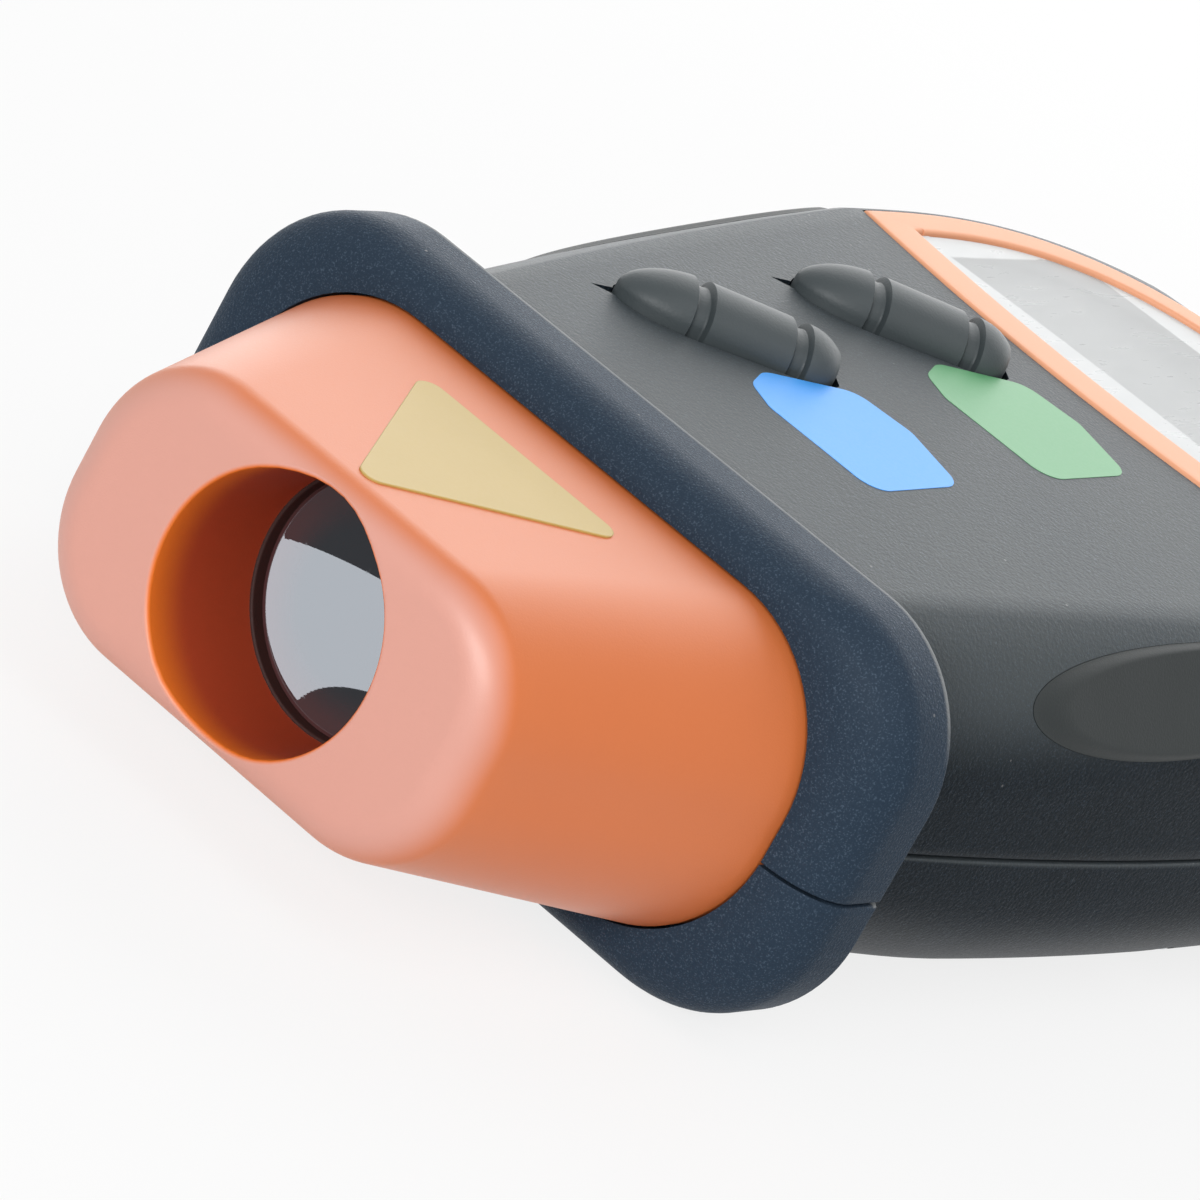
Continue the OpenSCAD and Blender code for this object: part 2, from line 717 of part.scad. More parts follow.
module lcd_frame() color("#e08a55") place() difference() {
    frame_cut(0, 0, frame_floor, frame_top);
    frame_cut(frame_side, frame_front, frame_floor - 1, frame_top + 1);
}

module mem_button() color("#26282b") place() key(keys_y[0]);
module test_button() color("#26282b") place() key(keys_y[1]);
module mem_plunger() color("#caa24a") place() key_plunger(keys_y[0]);
module test_plunger() color("#caa24a") place() key_plunger(keys_y[1]);
module mem_switch() color("#3a3c40") place() key_switch(keys_y[0]);
module test_switch() color("#3a3c40") place() key_switch(keys_y[1]);

battery_z = floor_z + slide + hook_t + slide;
pole_x = 6.35;
pole_l = 2;
pole_ds = [7.6, 5.4];
snap_inset = 2;
module battery_poles(grow) {
    for (i = [0, 1]) translate([(2 * i - 1) * pole_x, battery_y, battery_z + battery_t / 2])
        rotate([90, 0, 0]) cylinder(d = pole_ds[i] + grow, h = pole_l + grow);
}

module battery() color("#8d9298") place() {
    block(-battery_w / 2, battery_w / 2, battery_y, battery_y + battery_l,
        battery_z, battery_z + battery_t);
    battery_poles(0);
}

module battery_snap() color("#1f2023") place() difference() {
    block(-battery_w / 2 + 0.5, battery_w / 2 - 0.5, battery_y - snap_t, battery_y - fit,
        battery_z + snap_inset, battery_z + battery_t - snap_inset);
    battery_poles(2 * thread_gap);
}

door_x = door_w / 2;
door_z = door_clear - axis_z;
hook_front = 4;
hook_rear = 10;
hook_ys = [door_y + hook_front, wide_y + hook_rear];
hook_z = floor_z + slide;
hook_root = 1.5;
rest_x = 6;
rest_w = 1.2;
rest_l = 24;
rest_y = battery_y + (battery_l - rest_l) / 2;
ridge_n = 6;
ridge_w = 12;
ridge_y = door_y + 8;
ridge_pitch = 2;
ridge_gap = 0.9;
ridge_depth = 0.5;
module battery_door() color("#2a2c2f") place() {
    difference() {
        intersection() {
            block(-door_x, door_x, door_y, total_l, door_z, door_z + door_t);
            housing_skin();
        }
        for (i = [0 : ridge_n - 1]) let (y = ridge_y + i * ridge_pitch)
            block(-ridge_w / 2, ridge_w / 2, y, y + ridge_gap, -far, door_z + ridge_depth);
    }
    for (x = [-rest_x, rest_x]) block(x - rest_w / 2, x + rest_w / 2, rest_y, rest_y + rest_l,
        door_z + door_t - overlap, battery_z - slide);
    for (y = hook_ys, s = [0, 1]) mirror([s, 0, 0]) {
        block(door_x - hook_root, door_x, y, y + hook_l, door_z + door_t - overlap, hook_z + hook_t);
        block(door_x - hook_root, door_x + slide + hook_reach, y, y + hook_l, hook_z, hook_z + hook_t);
    }
}

case_head_t = 1.8;
board_head_t = 1.5;
board_head_d = 4.6;
module case_screws() color("#a9acb0") place() for (p = posts) translate([p[0], p[1], -axis_z]) {
    translate([0, 0, case_head_z - case_head_t]) cylinder(d = case_head_d, h = case_head_t);
    translate([0, 0, case_head_z - overlap])
        cylinder(d = screw_d, h = split_z + axis_z + post_bite - case_head_z);
}

module board_screws() color("#a9acb0") place()
    for (p = standoffs) translate([p[0], p[1], board_bottom]) {
        translate([0, 0, -board_head_t]) cylinder(d = board_head_d, h = board_head_t);
        translate([0, 0, -overlap]) cylinder(d = screw_d, h = board_t + board_bite + overlap);
    }

module grip_left() color("#1d1f21") place() grip_solid(grip_seat, 0, 0, -1);
module grip_right() color("#1d1f21") place() grip_solid(grip_seat, 0, 0, 1);

upper_shell();
lower_shell();
nose_cone();
nose_sticker();
lens_ring();
lens();
optics_holder();
laser_module();
photo_sensor();
main_board();
controller_chip();
crystal();
lcd_panel();
contact_strips();
lcd_window();
lcd_frame();
mem_button();
mem_plunger();
mem_switch();
test_button();
test_plunger();
test_switch();
battery();
battery_snap();
battery_door();
case_screws();
board_screws();
grip_left();
grip_right();
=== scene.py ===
"""Dresses a packed laser tachometer: smooth mouldings, printed fields, glass and plastics, on a pale stage.

Lengths are metres. The form's rules measure y from the nose's front face and z from the bore's axis;
placed() brings such points into the frame of the CAD part.
"""

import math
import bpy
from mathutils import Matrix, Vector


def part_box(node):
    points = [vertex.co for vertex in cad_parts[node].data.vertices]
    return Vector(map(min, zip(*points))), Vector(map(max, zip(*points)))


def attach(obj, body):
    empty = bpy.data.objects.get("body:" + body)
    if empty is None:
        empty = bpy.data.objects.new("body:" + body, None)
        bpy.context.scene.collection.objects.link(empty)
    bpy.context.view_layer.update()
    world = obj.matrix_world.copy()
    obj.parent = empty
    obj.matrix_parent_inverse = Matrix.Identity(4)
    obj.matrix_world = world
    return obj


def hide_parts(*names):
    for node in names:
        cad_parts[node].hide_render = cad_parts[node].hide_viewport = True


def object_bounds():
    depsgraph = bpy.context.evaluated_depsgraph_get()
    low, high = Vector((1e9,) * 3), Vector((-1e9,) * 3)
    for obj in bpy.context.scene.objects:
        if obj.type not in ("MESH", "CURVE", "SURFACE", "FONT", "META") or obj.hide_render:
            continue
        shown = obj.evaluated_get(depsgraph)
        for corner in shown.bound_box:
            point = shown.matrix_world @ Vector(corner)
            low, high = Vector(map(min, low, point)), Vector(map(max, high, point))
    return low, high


bl_info = {
    "name": "Laser tachometer looks",
    "version": (1, 0, 0),
    "blender": (4, 5, 0),
    "location": "3D View > Sidebar > Tachometer",
    "description": "Builds the visible pieces of a hand-held laser tachometer round its CAD frame",
    "category": "Object",
}

import bmesh
import bpy
import numpy as np
from bpy.props import FloatProperty, FloatVectorProperty, PointerProperty
from mathutils import Matrix, Vector

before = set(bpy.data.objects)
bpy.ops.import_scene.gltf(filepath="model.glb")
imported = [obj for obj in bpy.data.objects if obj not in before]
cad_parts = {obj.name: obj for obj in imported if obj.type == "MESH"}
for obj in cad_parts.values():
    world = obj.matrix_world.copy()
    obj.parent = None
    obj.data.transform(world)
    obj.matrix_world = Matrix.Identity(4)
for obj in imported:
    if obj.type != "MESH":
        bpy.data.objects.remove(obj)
CAD_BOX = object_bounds()
NOSE_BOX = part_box("nose_cone")
FRONT_Y = NOSE_BOX[0].y
AXIS_Z = (NOSE_BOX[0].z + NOSE_BOX[1].z) / 2
TOTAL_L = CAD_BOX[1].y - CAD_BOX[0].y
COLLAR_W = CAD_BOX[1].x - CAD_BOX[0].x
FAR = 0.2  # reach of the cutting tools past the part
FLOOR_GAP = 0.0002
LENS_BOW = 0.040  # bow of the lens's hollow rear face, and its centre from the bore's axis
LENS_CENTRE = (0.0078, 0.0080)
KEY_TIP, KEY_TAIL = 0.0064, 0.0026  # lengths of a key's pointed and blunt ends
KEY_GROOVES = (0.34, 0.80)  # places of a key's cross grooves, as shares of its length
KEY_ROOT, KEY_FLANGE, KEY_NECK = -0.0022, (-0.0036, -0.0028), (-0.0030, -0.0020)  # heights from the face
FLOOR_R, FLOOR_FADE = 0.5, (0.14, 0.36)  # floor's radius, and the distances over which it fades
SENSOR_MM = 36
CREASE, MOULD_CREASE, SHELL_CREASE, SHEET_CREASE = 32, 40, 50, 15  # sharp edges, in degrees


def length(name, description, default):
    return FloatProperty(name=name, description=description, default=default, unit="LENGTH", precision=5)


def station(name, what, default):
    return length(name, "Distance from the nose's front to " + what, default)


def angle(name, description, degrees):
    return FloatProperty(name=name, description=description, default=math.radians(degrees), subtype="ANGLE")


def power(name, description, watts):
    return FloatProperty(name=name, description=description, default=watts, unit="POWER")


def tint(name, description, default):
    return FloatVectorProperty(name=name, description=description, default=default, size=3, min=0, max=1,
                               subtype="COLOR")


class TachometerSizes(bpy.types.PropertyGroup):
    """Sizes of the mouldings, as the CAD part has them."""

    body_w: length("Body width", "Widest width of the body, at the display", 0.0644)
    waist_w: length("Waist width", "Width of the body just behind the collar", 0.0538)
    waist_h: length("Waist height", "Height of the body just behind the collar", 0.028)
    tail_reach: length("Tail length", "Length of the rounded tail", 0.036)
    tail_edge: length("Tail edge", "Rounding of the tail's upper and lower edges", 0.004)
    wall: length("Wall", "Wall thickness of the shells", 0.002)
    shoulder_front: length("Front shoulder", "Width of the rolled shoulder behind the collar", 0.0071)
    shoulder_rear: length("Rear shoulder", "Width of the rolled shoulder beside the display", 0.0036)
    roof_angle: angle("Shoulder angle", "Turn of the shoulder before it meets the face at a crease", 62)
    belly_r: length("Belly radius", "Radius of the lower long edges", 0.012)
    belly_y: length("Belly start", "Distance behind the nose's front at which the underside is flat", 0.062)
    crown: length("Crown", "Crown of the face across its width", 0.0004)
    split_drop: length("Parting drop", "Drop of the parting plane below the bore axis", 0.0019)
    split_edge: length("Parting edge", "Broken edge of the shells along the parting plane", 0.00016)
    lip_h: length("Lip height", "Height of the lip that bridges the parting plane", 0.001)
    split_gap: length("Parting gap", "Gap between the shells along the parting plane", 0.00026)
    collar_h: length("Collar height", "Height of the collar", 2 * AXIS_Z)
    collar_y: station("Collar end", "the collar's back edge", 0.0346)
    collar_roll: length("Collar roll", "Depth of the collar's rolled front", 0.0042)
    collar_corner: length("Collar corner", "Corner radius of the collar", 0.011)
    rim_r: length("Rim radius", "Rounding of the collar's back rim", 0.0006)
    root_r: length("Root radius", "Hollow fillet between collar and body", 0.0012)
    nose_l: length("Nose length", "Visible length of the nose", 0.0264)
    nose_front_w: length("Nose front width", "Width of the nose at its front", 0.0382)
    nose_front_h: length("Nose front height", "Height of the nose at its front", 0.0216)
    nose_back_w: length("Nose back width", "Width of the nose at the collar", 0.0556)
    nose_back_h: length("Nose back height", "Height of the nose at the collar", 0.0258)
    nose_front_corner: length("Nose front corner", "Corner radius at the nose's front", 0.009)
    nose_back_corner: length("Nose back corner", "Corner radius of the nose at the collar", 0.0116)
    nose_edge: length("Nose edge", "Rounding of the nose's front edge", 0.0026)
    bore_edge: length("Bore edge", "Rounding of the bore's mouth", 0.00035)
    plug_l: length("Plug length", "Length of the nose's plug inside the collar", 0.0068)
    plug_groove: length("Plug groove", "Depth of the groove round the plug", 0.0013)
    groove_set: length("Groove place", "Distance from the collar's front to the plug's groove", 0.003)
    groove_w: length("Groove width", "Width of the groove round the plug", 0.0017)
    bore_d: length("Bore", "Diameter of the nose's bore", 0.0195)
    bore_depth: length("Bore depth", "Depth of the bore in front of the lens ring", 0.0114)
    lens_d: length("Lens", "Diameter of the lens", 0.0202)
    lens_rim: length("Lens rim", "Thickness of the lens at its rim", 0.002)
    lens_dome: length("Lens dome", "Height of the lens's domed front", 0.001)
    ring_t: length("Lens ring", "Thickness of the lens ring", 0.00115)
    ring_lip: length("Ring lip", "Width of the lens ring that shows in the bore", 0.00025)
    key_l: length("Key length", "Length of a key", 0.0176)
    key_w: length("Key width", "Width of a key", 0.0068)
    key_h: length("Key height", "Height of a key above the face", 0.0032)
    key_flank: length("Key flank", "Height of the keys' straight flank above the face", 0.0006)
    key_slant: angle("Key slant", "Slant of the keys from straight across", 48.8)
    key_x: length("Key side", "Distance of the keys' middles from the centre line", 0.012)
    mem_y: station("Memory key", "the memory key's middle", 0.05743)
    test_y: station("Test key", "the test key's middle", 0.08026)
    key_gap: length("Key gap", "Clearance around a key in its opening", 0.0004)
    key_bow_gap: length("Key tip gap", "Extra room in front of a key's pointed end", 0.0014)
    key_groove: length("Key groove", "Depth of the keys' cross grooves", 0.0006)
    key_groove_w: length("Key groove width", "Width of the keys' cross grooves", 0.0012)
    frame_y: station("Display front", "the display frame", 0.0924)
    frame_bow: length("Display bow", "Bow of the display frame's front edge", 0.0044)
    frame_margin: length("Display margin", "Margin between display frame and side", 0.004)
    frame_tail: length("Display tail", "Margin between display frame and tail", 0.003)
    frame_front: length("Frame front", "Width of the display frame's front strip", 0.0044)
    frame_side: length("Frame side", "Width of the display frame's side strips", 0.0029)
    frame_t: length("Frame depth", "Depth of the display frame's seat in the face", 0.0012)
    frame_proud: length("Frame height", "Height of the display frame above the face", 0.0002)
    frame_edge: length("Frame edge", "Rounding of the display frame's edges", 0.0003)
    window_ledge: length("Window ledge", "Width of the ledge under the display window", 0.0016)
    grip_y: station("Grip place", "the grip pads' middle", 0.07628)
    grip_l: length("Grip length", "Length of a grip pad", 0.04953)
    grip_turn: angle("Grip turn", "Place of the grip pads round the shoulder", 30)
    grip_spread: angle("Grip spread", "Half height of a grip pad round the shoulder", 23)
    grip_rim: length("Grip rim", "Height of a grip pad's rim above the shell", 0.0006)
    grip_dish: length("Grip dish", "Depth of a grip pad's dished middle below the shell", 0.00035)
    grip_seat: length("Grip seat", "Depth of a grip pad's seat in the shell", 0.0008)
    door_w: length("Door width", "Width of the battery door", 0.029)
    door_y: station("Door front", "the door's front edge", 0.068)
    door_t: length("Door thickness", "Thickness of the battery door", 0.0019)
    door_clear: length("Door recess", "Height of the door's face above the underside", 0.00015)
    sticker_w: length("Sticker width", "Width of the sticker's rear edge", 0.019)
    sticker_y: station("Sticker place", "the sticker's rear edge", 0.0204)
    sticker_l: length("Sticker length", "Length of the sticker", 0.0174)
    sticker_t: length("Sticker thickness", "Thickness of the sticker", 0.00015)
    sticker_r: length("Sticker corner", "Corner radius of the sticker", 0.0012)
    field_r: length("Field corner", "Corner radius of the coloured fields beside the keys", 0.0021)
    post_d: length("Post", "Diameter of the case posts", 0.008)
    head_d: length("Screw head", "Diameter of the case screws' heads", 0.0052)
    head_z: length("Screw depth", "Height of the case screws' seats above the underside", 0.005)
    head_t: length("Head thickness", "Thickness of the case screws' heads", 0.0018)
    screw_d: length("Screw", "Diameter of the case screws' shanks", 0.0024)
    slide: length("Sliding clearance", "Clearance of pieces that slide past each other", 0.00035)
    fit: length("Fixed clearance", "Clearance of pieces that are fixed together", 0.00015)


class TachometerColours(bpy.types.PropertyGroup):
    """Colours of the finishes."""

    case: tint("Case", "Charcoal of the shells", (0.009, 0.012, 0.014))
    # face is painted sheen: upward-facing surfaces are made paler than the flanks for the light that falls on
    # them from above
    face: tint("Face", "Charcoal of the display side, paler than the flanks", (0.060, 0.070, 0.073))
    collar: tint("Collar", "Bluish charcoal of the collar", (0.023, 0.039, 0.062))
    # the pale flecks are painted glints: they stand for the sparkle of the collar's grain
    case_fleck_sparkle: tint("Case fleck", "Pale flecks on the collar's fine grain", (0.11, 0.16, 0.22))
    # painted highlight: a pale line along the upward-facing part of the collar's back rim
    rim_highlight: tint("Worn edge", "Rubbed back edge of the collar", (0.30, 0.31, 0.31))
    grip: tint("Grip", "Dark rubber of the grip pads", (0.012, 0.016, 0.0165))
    key: tint("Key", "Dark rubber of the keys", (0.040, 0.050, 0.054))
    nose: tint("Nose", "Orange of the nose", (0.66, 0.158, 0.036))
    # painted sheen: a paler, pinker orange on the nose's front-facing surfaces for the glare that they catch
    nose_front_sheen: tint("Nose, frosted", "Paler, rubbed orange of the nose's front face", (0.70, 0.38, 0.33))
    # painted shade and bounced light: a deeper, darker red orange further into the bore
    nose_bore_shade: tint("Nose, deep", "Deeper red orange inside the bore", (0.50, 0.072, 0.024))
    # painted light: a brighter orange just inside the bore's mouth
    nose_bore_light: tint("Nose, glow", "Bright orange just inside the bore's mouth", (0.85, 0.19, 0.02))
    nose_pale: tint("Nose, pale", "Paler orange between the grain", (0.70, 0.182, 0.046))
    display_frame: tint("Display frame", "Orange of the display frame", (0.88, 0.40, 0.22))
    window: tint("Window", "Pale print round the display window", (0.50, 0.52, 0.525))
    display: tint("Display", "Pale grey-green of the display panel", (0.66, 0.69, 0.68))
    sticker: tint("Sticker", "Warm yellow of the sticker", (0.54, 0.385, 0.115))
    blue_field: tint("Memory field", "Blue printed field", (0.06, 0.38, 1.0))
    green_field: tint("Test field", "Green printed field", (0.12, 0.38, 0.17))
    lens: tint("Lens", "Dark tint of the lens", (0.006, 0.006, 0.008))
    # lens_rim colour is a painted reflection: dark red towards the lens's rim for the orange bore that it
    # reflects
    lens_rim: tint("Lens rim", "Red that the lens picks up at its rim", (0.055, 0.007, 0.005))
    steel: tint("Steel", "Plated screws and crystal can", (0.56, 0.57, 0.59))
    brass: tint("Brass", "Turned brass of the laser module", (0.62, 0.43, 0.17))
    board: tint("Board", "Lacquer of the main board", (0.022, 0.14, 0.05))
    battery: tint("Battery", "Painted can of the battery", (0.22, 0.24, 0.27))


class TachometerView(bpy.types.PropertyGroup):
    """The camera of the photograph's view, aimed from the middle of the nose's front face, and the lights."""

    azimuth: angle("Azimuth", "Turn of the camera round the part", 29.023)
    elevation: angle("Elevation", "Height of the camera above the horizon", 19.409)
    roll: angle("Roll", "Roll of the camera about its own axis", 29.12)
    distance: length("Distance", "Distance of the camera from the nose's front face", 0.532063)
    right: length("Aim, right", "Shift of the aim to the right of the nose's front face", 0.022371)
    up: length("Aim, up", "Shift of the aim above the nose's front face", 0.00093)
    lens_mm: FloatProperty(name="Lens", description="Focal length of the camera", default=240, unit="CAMERA")
    key_light: power("Overhead light", "Power of the light above the part", 1.1)
    fill_light: power("Front light", "Power of the light in front of the nose", 3.1)
    back_light: power("Back light", "Power of the light behind the part", 3.7)
    ambient: FloatProperty(name="Ambient", description="Strength of the surrounding light", default=0.32)


def sizes():
    return bpy.context.scene.tach_sizes


def colours():
    return bpy.context.scene.tach_colours


# Rules of the form

def mix(a, b, t):
    return a + (b - a) * t


def ease(t, power):
    return 1 - (1 - np.clip(t, 0, 1)) ** power


def smooth_step(t):
    t = np.clip(t, 0, 1)
    return t * t * (3 - 2 * t)


def wide_y():
    return TOTAL_L - sizes().tail_reach


def along(y, end):
    return (y - sizes().collar_y) / (end - sizes().collar_y)


def body_half(y):
    s = sizes()
    tail = 1 - np.clip((y - wide_y()) / (s.tail_reach + 0.0005), 0, 1) ** 3
    return mix(s.waist_w, s.body_w, ease(along(y, wide_y()), 2)) / 2 * tail ** (1 / 3)


def swell():
    return (sizes().collar_h - sizes().waist_h) / 2


def face_z(y):
    return sizes().waist_h / 2 + swell() * ease(along(y, wide_y()), 1.25)


def belly_z(y):
    return sizes().waist_h / 2 + swell() * ease(along(y, sizes().belly_y), 1.5)


def tail_drop(y):
    edge = sizes().tail_edge
    v = np.clip((y - TOTAL_L + edge) / edge, 0, 1)
    return edge * (1 - np.sqrt(1 - v * v))


def shoulder_r(y):
    s = sizes()
    width = mix(s.shoulder_front, s.shoulder_rear, np.clip(along(y, wide_y()), 0, 1) ** 2)
    return width / (1 - math.cos(s.roof_angle))


def face_half(y):
    """Half width of the face, between the creases of the shoulders."""
    r = shoulder_r(y)
    return body_half(y) - r + r * math.cos(sizes().roof_angle)


def face_at(x, y):
    return face_z(y) + sizes().crown * (1 - np.clip(x / face_half(y), -1, 1) ** 2)


# Sections and skins

def arc(x, z, r, start, end, n):
    a = np.radians(np.linspace(start, end, n))
    return np.stack([x + r * np.cos(a), z + r * np.sin(a)], -1)


def quarter(n):
    """Steps of a quarter round, as pairs of 1 - cosine and 1 - sine."""
    a = np.radians(np.linspace(0, 90, n))
    return list(zip(1 - np.cos(a), 1 - np.sin(a)))


def line(a, b, n):
    """Points between two ends, without the ends."""
    t = np.linspace(0, 1, n + 2)[1:-1, None]
    return np.asarray(a) * (1 - t) + np.asarray(b) * t


def mirrored(points):
    return points[::-1] * [-1, 1]


def body_profile(y, inset=0.0):
    """Half width, top, bottom, shoulder radius and turn, belly radius and crown of the body at y."""
    s = sizes()
    drop = tail_drop(y) + inset
    belly = min(s.belly_r, 0.85 * body_half(y)) - inset
    crown = 0 if inset > 0 else s.crown
    return (body_half(y) - inset, face_z(y) - drop, belly_z(y) - drop, shoulder_r(y) - inset,
            math.degrees(s.roof_angle), belly, crown)


def collar_profile(w, h, r):
    return (w, h, h, r, 90, r, 0)


def upper_half(profile, split, edge):
    """Right half of an upper section, from the parting plane to the crown."""
    w, top, _, r, turn, _, crown = profile
    zc = top - r * math.sin(math.radians(turn))
    start = [w, split + edge]
    side = np.vstack([[[w - edge, split], start], line(start, [w, zc], 5)])
    shoulder = arc(w - r, zc, r, 0, turn, 20)
    k = np.linspace(1, 0, 14)[1:, None]
    e = w - r + r * math.cos(math.radians(turn))
    roof = np.hstack([k * e, top + crown * (1 - k * k)])
    return np.vstack([side, shoulder, roof])


def lower_half(profile, split, edge):
    """Right half of a lower section, from the parting plane to the middle of the underside."""
    w, _, bottom, _, _, r, _ = profile
    zc = r - bottom
    low = split - edge
    start = math.degrees(math.asin(max(-1, min(0, (low - zc) / r))))
    corner = arc(w - r, zc, r, start, -90, 26)
    side = np.vstack([[[w - edge, split], [w, low]], line([w, low], corner[0] - [0, 1e-6], 4)])
    return np.vstack([side, corner, line(corner[-1], [0, -bottom], 6), [[0, -bottom]]])


def section(profile, half, split=0.0, edge=0.0):
    """Section of the upper or lower shell, or closed section of the whole housing."""
    halves = {"upper": upper_half, "lower": lower_half}
    if half in halves:
        right = halves[half](profile, split, edge)
        return np.vstack([right, mirrored(right)[1:]])
    upper, lower = upper_half(profile, split, 0)[1:], lower_half(profile, split, 0)[1:]
    right = np.vstack([lower[::-1], upper[1:]])
    return np.vstack([right, mirrored(right)[1:-1]])


def ring(y, points):
    return np.stack([points[:, 0], np.full(len(points), y), points[:, 1]], -1)


def rounded(w, h, r, n_arc=18, n_side=8):
    """Closed outline of a rounded rectangle, always with the same number of points."""
    corners = [(w - r, r - h, -90), (w - r, h - r, 0), (r - w, h - r, 90), (r - w, r - h, 180)]
    arcs = [arc(x, z, r, a, a + 90, n_arc) for x, z, a in corners]
    sides = [line(arcs[i][-1], arcs[(i + 1) % 4][0], n_side) for i in range(4)]
    return np.vstack([part for pair in zip(arcs, sides) for part in pair])


def skin(rows, loop=False):
    """A skin through rows of points, each a closed ring; its ends are capped, or joined in a loop."""
    rows = np.asarray(rows)
    m, n = rows.shape[:2]
    index = np.arange(m * n).reshape(m, n)
    following = np.roll(index, -1, 0) if loop else index[1:]
    first = index if loop else index[:-1]
    quads = np.stack([first, np.roll(first, -1, 1), np.roll(following, -1, 1), following], -1)
    faces = [tuple(q) for q in quads.reshape(-1, 4).tolist()]
    if not loop:
        faces += [tuple(index[0][::-1].tolist()), tuple(index[-1].tolist())]
    return rows.reshape(-1, 3), faces


def prism(outline, low, high):
    """An upright prism from a plan outline."""
    flat = np.asarray(outline)
    rows = [np.column_stack([flat, np.full(len(flat), z)]) for z in (low, high)]
    return skin(rows)


def bar_y(outline, start, end):
    """A prism along y from a section."""
    return skin([ring(start, outline), ring(end, outline)])


def block(low, high, edge=0.0):
    """A box, with its upright edges rounded where an edge is given."""
    (x0, y0, z0), (x1, y1, z1) = low, high
    centres = [(x0 + edge, y0 + edge), (x1 - edge, y0 + edge), (x1 - edge, y1 - edge), (x0 + edge, y1 - edge)]
    return prism(swept(centres, edge, 4) if edge else centres, z0, z1)


def turned(profile, n=96, axis="y"):
    """Rows of a solid turned about the bore's axis, or an upright one, from (radius, distance) points."""
    a = np.linspace(0, 2 * np.pi, n, endpoint=False)
    rows = []
    for r, d in profile:
        c, s, flat = r * np.cos(a), r * np.sin(a), np.full(n, d)
        rows.append(np.stack([c, flat, s] if axis == "y" else [c, s, flat], -1))
    return rows


def swept(centres, r, n):
    """Outline of a disc of radius r that runs round a convex outline of centres."""
    c = np.asarray(centres, float)
    d = np.roll(c, -1, 0) - c
    out = np.degrees(np.arctan2(-d[:, 0], d[:, 1]))
    points = []
    for i in range(len(c)):
        turn = (out[i] - out[i - 1] + 180) % 360 - 180
        points.append(arc(c[i][0], c[i][1], r, out[i - 1], out[i - 1] + turn, n))
    return np.vstack(points)


def placed(points):
    return np.asarray(points) + [0, FRONT_Y, AXIS_Z]


# Pieces

def add_object(name, data):
    made = bpy.data.objects.new(name, data)
    bpy.context.scene.collection.objects.link(made)
    return made


def new_object(name, parts):
    """A mesh object from several skins, with its faces turned outwards."""
    verts, faces, start = [], [], 0
    for points, polygons in parts:
        verts.append(points)
        faces += [tuple(i + start for i in f) for f in polygons]
        start += len(points)
    mesh = bpy.data.meshes.new(name)
    mesh.from_pydata(placed(np.vstack(verts)).tolist(), [], faces)
    bm = bmesh.new()
    bm.from_mesh(mesh)
    bmesh.ops.remove_doubles(bm, verts=bm.verts, dist=1e-7)
    bmesh.ops.recalc_face_normals(bm, faces=bm.faces)
    bm.to_mesh(mesh)
    bm.free()
    return add_object(name, mesh)


def carve(piece, tools, operation="DIFFERENCE"):
    """Cuts the tools from the piece, or joins them to it, and removes them."""
    for tool in tools:
        step = piece.modifiers.new("carve", "BOOLEAN")
        step.operation = operation
        step.solver = "EXACT"
        step.object = tool
    bpy.context.view_layer.update()
    mesh = bpy.data.meshes.new_from_object(piece.evaluated_get(bpy.context.evaluated_depsgraph_get()))
    old = piece.data
    piece.modifiers.clear()
    piece.data = mesh
    bpy.data.meshes.remove(old)
    for tool in tools:
        bpy.data.objects.remove(tool)
    return piece


def finish_piece(piece, finish, body, slot, *stands_for, crease=CREASE):
    """Shades, paints and mounts a piece on its body, in place of the CAD nodes that it stands for."""
    piece.data.materials.clear()
    piece.data.materials.append(finish)
    piece.data.shade_smooth()
    piece.data.set_sharp_from_angle(angle=math.radians(crease))
    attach(piece, body)
    if stands_for:
        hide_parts(*stands_for)


# Finishes

class Value:
    """A shader socket that takes part in Python expressions."""

    def __init__(self, tree, socket):
        self.tree = tree
        self.socket = socket

    def math(self, operation, *others):
        node = self.tree.nodes.new("ShaderNodeMath")
        node.operation = operation
        for socket, value in zip(node.inputs, others):
            connect(self.tree, socket, value)
        return Value(self.tree, node.outputs[0])

    def __add__(self, other):
        return self.math("ADD", self, other)

    def __radd__(self, other):
        return self.math("ADD", other, self)

    def __sub__(self, other):
        return self.math("SUBTRACT", self, other)

    def __rsub__(self, other):
        return self.math("SUBTRACT", other, self)

    def __mul__(self, other):
        return self.math("MULTIPLY", self, other)

    def __rmul__(self, other):
        return self.math("MULTIPLY", other, self)

    def __truediv__(self, other):
        return self.math("DIVIDE", self, other)

    def __abs__(self):
        return self.math("ABSOLUTE", self)

    def root(self):
        return self.math("SQRT", self)

    def at_least(self, other):
        return self.math("MAXIMUM", self, other)


def connect(tree, socket, value):
    if isinstance(value, Value):
        tree.links.new(value.socket, socket)
    elif hasattr(socket.default_value, "__len__") and len(socket.default_value) == 4 and len(value) == 3:
        socket.default_value = (*value, 1)
    else:
        socket.default_value = value


def pick(sockets, key):
    """A socket by its place in the list, or by its identifier or name."""
    return sockets[key] if isinstance(key, int) else next(s for s in sockets if key in (s.identifier, s.name))


